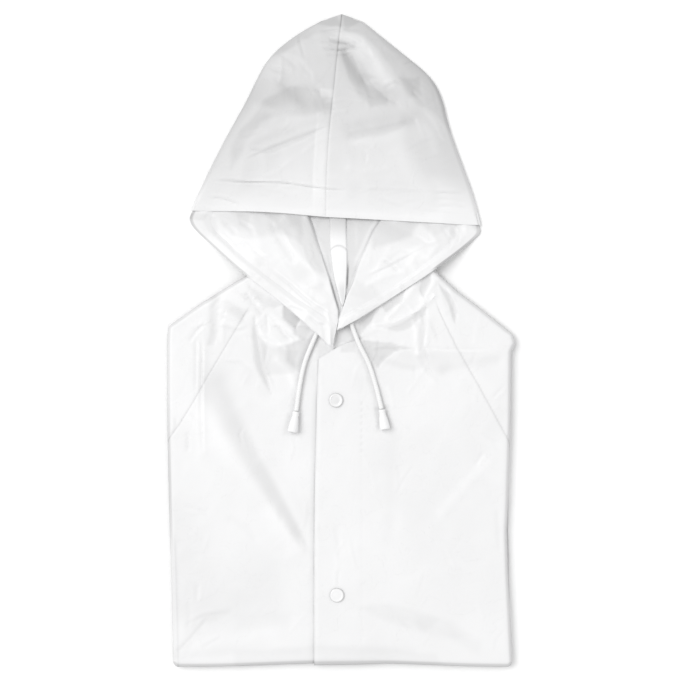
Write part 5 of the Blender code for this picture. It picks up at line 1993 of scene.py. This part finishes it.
    def build(self, material: Material) -> Piece:
        """Builds the half as one folded wall.

        Args:
            material: Its finish.

        Returns:
            The piece.
        """
        crown_table, back_table = self.tables()
        back_rows = self.fine_rows(back_table)
        crown_rows = back_rows[back_rows <= len(CROWN_ROWS) - 1 + 1e-9]
        crown, crown_painted_shade = self.crown(crown_rows, crown_table)
        back, back_painted_shade = self.back(back_rows, back_table)
        lower = self.outline_of(back[: len(crown)])
        crown[0, :, 2] = lower[: self.columns, 2] + HOOD.edge_gap
        crown[1:, -1, 2] = lower[self.columns :, 2] + HOOD.edge_gap
        rounds = self.rounded_edge(self.outline_of(crown), lower)
        crown_numbers = numbered(crown)
        back_numbers = numbered(back, crown_painted_shade.size)
        start = crown_painted_shade.size + back_painted_shade.size
        turned = [start + n * len(lower) + np.arange(len(lower)) for n in range(len(rounds))]
        loops = [self.outline_of(crown_numbers), *turned, self.outline_of(back_numbers[: len(crown)])]
        faces = quads_between(crown_numbers, not self.right) + quads_between(back_numbers, self.right)
        faces += quads_between(loops, not self.right)
        # painted shade on the rolled edge, greyer than the crown beside it
        edge_painted_shade = self.outline_of(crown_painted_shade) + (0.25 if self.right else 0.22)
        turned_painted_shade = [edge_painted_shade * ramp(n + 1.0, 0.0, 3.0) for n in range(len(rounds))]
        tone = np.concatenate([crown_painted_shade.ravel(), back_painted_shade.ravel(), *turned_painted_shade])
        points = np.vstack([crown.reshape(-1, 3), back.reshape(-1, 3), *rounds])
        name = "hood_" + self.side.value
        piece = mesh_object(name + "_cloth", points, faces, tone)
        give_wall(piece, self.cloth, 1.0)
        return dress(piece, material, name)


@dataclass
class Casing:
    """The hem that holds the drawcord, turned in along one cheek and seen from inside the hood."""

    half: HoodHalf
    columns: int = 22
    lift: float = 0.3
    wall: float = 1.1
    puff: float = 0.5
    cloth: float = 0.9
    cut: tuple[float, float] = (0.026, 0.190)
    area: float = 0.0030
    relief: Relief = Relief(
        CHEEK_CREASES
        + small_creases(71, 60, (-140.0, -8.0), (130.0, 118.0), 0.3, 50.0)
        + small_creases(72, 40, (-140.0, -8.0), (130.0, 118.0), 0.3, 140.0),
        (Crumple(26, 22.0, 0.3), Crumple(27, 11.0, 0.14, facets=True)),
    )

    def tone(self, across: Array, y: Array) -> Array:
        """Greyness of the hem: the cheeks' painted shade, a dark line at its welded inner side, and painted
        shade on its rolled edge where it stands clear of the body.

        Args:
            across: The points' share of the casing's width, from its inner side.
            y: Their places along.

        Returns:
            The greyness at each point.
        """
        if self.half.right:
            weld = ramp(y, 72.0, 60.0)
            edge = 0.75 * ramp(across, 0.80, 0.88) * ramp(y, 56.0, 61.0)
        else:
            weld = 0.5 * ramp(y, 56.0, 66.0)
            edge = (1.15 - 0.4 * ramp(y, 84.0, 104.0)) * ramp(across, 0.76, 0.86) * ramp(y, 62.0, 67.0)
        return cheek_painted_shade(y) + 0.12 * weld * band(across, 0.04, 0.05) + edge

    def build(self, material: Material) -> Piece:
        """Builds the hem with its welded inner side and its rolled edge.

        Args:
            material: Its finish.

        Returns:
            The piece.
        """
        _, table = self.half.tables()
        rows = self.half.fine_rows(table)
        rows = rows[(rows >= len(CROWN_ROWS) - 2) & (rows <= len(table) - 1.15)]
        ends, across = curve_through(table, rows), np.linspace(0.0, 1.0, self.columns)[None, :]
        length = np.hypot(ends[:, 2] - ends[:, 0], ends[:, 3] - ends[:, 1])[:, None]
        whole = 0.6 + 0.4 * ramp(rows[:, None] - len(CROWN_ROWS), 5.5, 8.0)
        width = np.minimum(HOOD.casing_width, whole * length)
        x, y = between(ends, 1.0 - width * (1.0 - across) / length)
        base, fine = HOOD.back(x, y), self.relief.height(x, y)
        tube = self.puff * np.sin(math.pi * across) ** 0.8 * (1.0 - 0.25 * across)
        rise = self.lift + self.wall + tube + fine * ramp(across, 0.0, 0.08) * ramp(across, 1.0, 0.92)
        z = base + rise * (0.1 + 0.9 * ramp(across, 0.0, 0.42))
        z = np.where(across > 0.99, base - HOOD.wall, np.where(across < 0.01, base - 0.2, z))
        # painted shade from the facets and the creases' valleys, painted highlight on their ridges
        tone = self.tone(across, y) + facet_dent_and_shade(CHEEK_PAINTED_FACETS, x, y)[1] - 0.12 * fine
        name, side = "casing_" + self.half.side.value, self.half.side.value
        faces = quads_between(numbered(x), flip=not self.half.right)
        piece = mesh_object(name + "_cloth", stacked(x, y, z), faces, tone.ravel())
        give_wall(piece, self.cloth, -1.0)
        return dress(piece, material, name)


@dataclass
class SeamTape:
    """The welded tape down the inside of the hood's centre seam, with the rounded tab that laps over it."""

    sections: tuple[tuple[float, float, float], ...] = (
        (-3.4, 126.0, 8.6),
        (-3.0, 114.0, 8.3),
        (-2.8, 101.0, 8.0),
        (-2.3, 88.0, 7.9),
        (-1.9, 80.0, 7.9),
        (-1.2, 66.0, 7.0),
        (-0.4, 54.0, 5.6),
        (0.4, 45.0, 4.3),
        (1.0, 38.0, 3.0),
        (1.3, 33.0, 1.8),
        (1.4, 30.0, 0.7),
    )
    lift: float = 0.5
    wall: float = 1.0
    round: float = 0.7
    cloth: float = 0.6
    columns: int = 17
    rows_each: int = 9
    tab_y: float = 86.5
    tab_round: float = 4.4
    tab_rise: float = 0.45
    cut: tuple[float, float] = (0.018, 0.098)
    area: float = 0.0016
    finish: Vinyl = Vinyl("seam_tape", bright=0.88, shade=0.60, crackle=0.02, rough=0.26)

    def build(self) -> Piece:
        """Builds the tape.

        Returns:
            The piece.
        """
        parts = len(self.sections) - 1
        path = curve_through(np.array(self.sections), np.linspace(0.0, parts, self.rows_each * parts + 1))
        across = np.linspace(-1.0, 1.0, self.columns)[None, :]
        x = path[:, 0:1] + path[:, 2:3] * across
        y = np.broadcast_to(path[:, 1:2], x.shape)
        base = HOOD.floor(path[:, 0:1], path[:, 1:2]) + HOOD.wall
        past_tab = y - self.tab_y + self.tab_round * (across * 0.98) ** 2
        z = base + self.lift + self.wall + self.round * (1.0 - across**2) ** 0.6
        z = z + self.tab_rise * ramp(past_tab, 0.0, -0.9) - 0.3 * band(past_tab, 0.9, 0.9)
        z = np.where(np.abs(across) > 0.99, base + 0.25, z)
        # painted shade at the top under the brow and low down by the slit, and a painted shadow line at the
        # tab's fold
        tone = 0.10 + 0.9 * ramp(y, 88.0, 114.0) + 0.5 * ramp(y, 56.0, 44.0) * (across < 0.75)
        tone = tone + 0.7 * band(past_tab, 0.6, 0.8)
        faces = quads_between(numbered(x), flip=True)
        piece = mesh_object("hood_tape_cloth", stacked(x, y, z), faces, tone.ravel())
        give_wall(piece, self.cloth, -1.0)
        return dress(piece, self.finish.material(), "hood_tape")


# ---------------------------------------------------------------- cords, their ends, and snaps


def turned_rings(name: str, rings: tuple[Place, ...], vertices: int) -> Piece:
    """Raises a round form from a disc, ring by ring, as on a lathe.

    Args:
        name: The piece's name.
        rings: Radius and height of each ring in millimetres, from the foot up.
        vertices: Points round each ring.

    Returns:
        The closed piece, standing on the origin.
    """
    pick_only()
    radius, height = rings[0]
    size, foot = radius * MM, (0.0, 0.0, height * MM)
    bpy.ops.mesh.primitive_circle_add(vertices=vertices, radius=size, fill_type="NGON", location=foot)
    piece = bpy.context.active_object
    piece.name = piece.data.name = name
    bpy.ops.object.transform_apply(location=True, rotation=False, scale=False)
    bpy.ops.object.mode_set(mode="EDIT")
    for (last_radius, last_height), (radius, height) in zip(rings, rings[1:]):
        up = (0.0, 0.0, (height - last_height) * MM)
        bpy.ops.mesh.extrude_region_move(TRANSFORM_OT_translate={"value": up})
        grow = radius / last_radius
        bpy.ops.transform.resize(value=(grow, grow, 1.0), center_override=(0.0, 0.0, height * MM))
    normals_outwards()
    bpy.ops.object.shade_smooth_by_angle(angle=math.radians(38.0))
    return piece


def put(piece: Piece, place: Vector, axis: Vector) -> None:
    """Lays a turned piece in its place, in its mesh.

    Args:
        piece: The piece, standing along +Z from the origin.
        place: Where its foot goes, in millimetres.
        axis: The direction that it then points in.
    """
    pick_only(piece)
    piece.rotation_euler = axis.to_track_quat("Z", "Y").to_euler()
    piece.location = place * MM
    bpy.ops.object.transform_apply(location=True, rotation=True, scale=True)


@dataclass
class Drawcord:
    """One free end of the hood's drawcord and the moulded bell on it."""

    side: Side
    route: tuple[Place, ...]
    bell_from: Place
    bell_to: Place
    radius: float = 2.1
    rest: float = 0.6
    step: float = 5.0
    ring_step: float = 0.9
    around: int = 20
    plait: float = 0.025
    strands: int = 8
    mouth_radius: float = 2.9
    foot_radius: float = 4.9

    def height(self, place: Place) -> float:
        """Height of the sheet's top below the cord, as the CAD model takes it.

        Args:
            place: The place.

        Returns:
            The height.
        """
        x, y = np.array([place[0]]), np.array([place[1]])
        over_flap = place[1] < 4.0 and place[0] > -21.6
        rise = BODY.flap_rise * BODY.flap_share(x) if over_flap else 0.0 * x
        return float(BODY.sheet_top(x, y, rise)[0])

    def centreline(self) -> Array:
        """Lays the route on the sheet.

        Returns:
            Points down the middle of the cord: the CAD model's own.
        """
        above = [self.rest + self.radius] * (len(self.route) - 1) + [self.rest + self.mouth_radius]
        table = np.array([(*place, self.height(place) + up) for place, up in zip(self.route, above)])
        at = [np.array([0.0])]
        for n, (low, high) in enumerate(zip(table, table[1:])):
            count = max(2, round(math.dist(low, high) / self.step))
            at.append(n + np.arange(1, count + 1) / count)
        return curve_through(table, np.concatenate(at))

    def tube(self, line: Array) -> Piece:
        """The cord as a closed tube with its own UV map.

        Args:
            line: Its centreline.

        Returns:
            The tube.
        """
        run = np.concatenate([[0.0], np.cumsum(np.linalg.norm(np.diff(line, axis=0), axis=1))])
        at = parted(0.0, run[-1], self.ring_step)
        middle = np.stack([np.interp(at, run, line[:, k]) for k in range(3)], axis=1)
        ahead = np.gradient(middle, axis=0)
        ahead /= np.linalg.norm(ahead, axis=1)[:, None]
        across = np.cross(ahead, (0.0, 0.0, 1.0))
        across /= np.linalg.norm(across, axis=1)[:, None]
        up = np.cross(across, ahead)
        n = self.around
        turn = np.arange(n) / n * math.tau
        one, other = (np.sin(self.strands * turn + way * 1.85 * at[:, None]) for way in (1, -1))
        ring = np.cos(turn)[None, :, None] * across[:, None, :] + np.sin(turn)[None, :, None] * up[:, None, :]
        points = middle[:, None, :] + self.radius * (1.0 + self.plait * one * other)[:, :, None] * ring
        points = np.vstack([points.reshape(-1, 3), middle[:1], middle[-1:]])
        faces = []
        for row in range(len(at) - 1):
            for k in range(n):
                a, b = row * n + k, row * n + (k + 1) % n
                faces.append((a, a + n, b + n, b))
        last, foot = (len(at) - 1) * n, len(points) - 2
        faces += [(foot, k, (k + 1) % n) for k in range(n)]
        faces += [(foot + 1, last + (k + 1) % n, last + k) for k in range(n)]
        piece = mesh_object("drawcord_" + self.side.value + "_braid", points, faces)
        uv = piece.data.uv_layers.new(name="UVMap")
        for loop in piece.data.loops:
            row, k = divmod(loop.vertex_index, n)
            uv.data[loop.index].uv = (k / n, at[min(row, len(at) - 1)])
        normals_outwards()
        return piece

    def bell(self) -> Piece:
        """The moulded bell, on its side with its mouth round the cord.

        Returns:
            The bell.
        """
        length = math.dist(self.bell_from, self.bell_to)
        mouth, foot = self.mouth_radius, self.foot_radius
        rings = (
            (foot - 1.6, 0.5), (foot - 1.3, 0.0), (foot - 0.7, 0.0), (foot - 0.25, 0.25),
            (foot, 0.9), (foot, 2.2), (foot - 0.12, 4.2), (foot - 0.45, 6.4),
            (mouth + 1.0, length - 8.2), (mouth + 0.45, length - 6.2),
            (mouth + 0.12, length - 4.4), (mouth, length - 2.4), (mouth + 0.28, length - 1.9),
            (mouth + 0.3, length - 0.8), (mouth + 0.05, length - 0.15), (mouth - 0.4, length),
            (mouth - 0.6, length - 0.3),
        )
        piece = turned_rings("cord_end_" + self.side.value + "_bell", rings, 40)
        above = self.rest + 0.3
        high = Vector((*self.bell_from, self.height(self.bell_from) + above + mouth))
        low = Vector((*self.bell_to, self.height(self.bell_to) + above + foot))
        put(piece, low, high - low)
        return piece

    def build(self, braid: Material, plastic: Material) -> None:
        """Makes the cord and its bell.

        Args:
            braid: The cord's finish.
            plastic: The bell's finish.
        """
        line = self.centreline()
        tube = dress(self.tube(line), braid, "drawcord_" + self.side.value)
        bell = dress(self.bell(), plastic, "cord_end_" + self.side.value)


@dataclass
class SnapCap:
    """A snap's round cap on the closing flap, with a raised rim round a dished middle."""

    name: str
    place: Place
    # painted shade by radius, in millimetres from the cap's middle
    painted_shade_rings: tuple[Place, ...]
    radius: float = 6.8
    dish: float = 0.9
    tall: float = 2.2

    def build(self, plastic: Material) -> Piece:
        """Turns the cap and sets it on the flap.

        Args:
            plastic: Its finish.

        Returns:
            The cap.
        """
        r, h, low = self.radius, self.tall, self.tall - self.dish
        rings = (
            (r - 0.9, 0.0), (r - 0.25, 0.12), (r, 0.55), (r, 1.0), (r - 0.2, h - 0.6),
            (r - 0.75, h - 0.12), (r - 1.3, h), (r - 1.85, h - 0.12),
            (r - 2.3, low + 0.3 * self.dish), (r - 2.7, low + 0.05), (r - 3.4, low),
            (r - 4.6, low + 0.12), (r - 5.6, low + 0.2),
        )
        piece = turned_rings("snap_cap_" + self.name + "_moulded", rings, 56)
        away = np.array([math.hypot(*vertex.co[:2]) for vertex in piece.data.vertices]) / MM
        # painted shade in the dished middle, and painted shadow round the cap's foot
        tone = np.interp(away, [at for at, _ in self.painted_shade_rings], [value for _, value in self.painted_shade_rings])
        piece.data.attributes.new("tone", "FLOAT", "POINT").data.foreach_set("value", tone)
        x, y = np.array([self.place[0]]), np.array([self.place[1]])
        top = float(BODY.sheet_top(x, y, np.array([BODY.flap_rise]))[0]) + BODY.gap
        put(piece, Vector((*self.place, top)), Vector((0.0, 0.0, 1.0)))
        return dress(piece, plastic, "snap_cap_" + self.name)


def main() -> None:
    """Builds the cords, the studio and every piece of the jacket."""
    logging.basicConfig(level=logging.INFO, format="%(name)s %(message)s")
    studio = Studio()
    studio.camera()
    braid, plastic = Braid().material(), MouldedPlastic().material()
    route_right = ((-16.8, 17.0), (-23.5, 2.8), (-33.6, -21.8), (-38.8, -44.6), (-42.2, -69.5))
    route_left = ((5.2, 25.0), (10.0, 12.0), (16.8, -5.7), (26.2, -24.5), (33.0, -46.0), (38.4, -67.5))
    Drawcord(Side.RIGHT, route_right, (-42.3, -70.2), (-45.7, -89.4)).build(braid, plastic)
    Drawcord(Side.LEFT, route_left, (38.6, -68.2), (41.6, -86.8)).build(braid, plastic)
    studio.build()
    FoldedLayers().build()
    DrapedSheet().build()
    hood_vinyl = Vinyl("hood_vinyl").material()
    for side in Side:
        half = HoodHalf(side)
        half.build(hood_vinyl)
        Casing(half).build(hood_vinyl)
    SeamTape().build()
    # painted shade in each cap's dished middle and painted shadow round its foot, by radius
    upper_painted_shade = ((3.2, 0.35), (4.2, 0.08), (5.2, 0.0), (6.0, 0.35), (6.8, 0.8))
    lower_painted_shade = ((4.0, 0.1), (5.6, 0.0), (6.2, 0.4), (6.8, 0.9))
    SnapCap("upper", (-4.8, -59.4), upper_painted_shade).build(plastic)
    SnapCap("lower", (-3.9, -243.7), lower_painted_shade, dish=0.3).build(plastic)


if __name__ == "__main__":
    main()
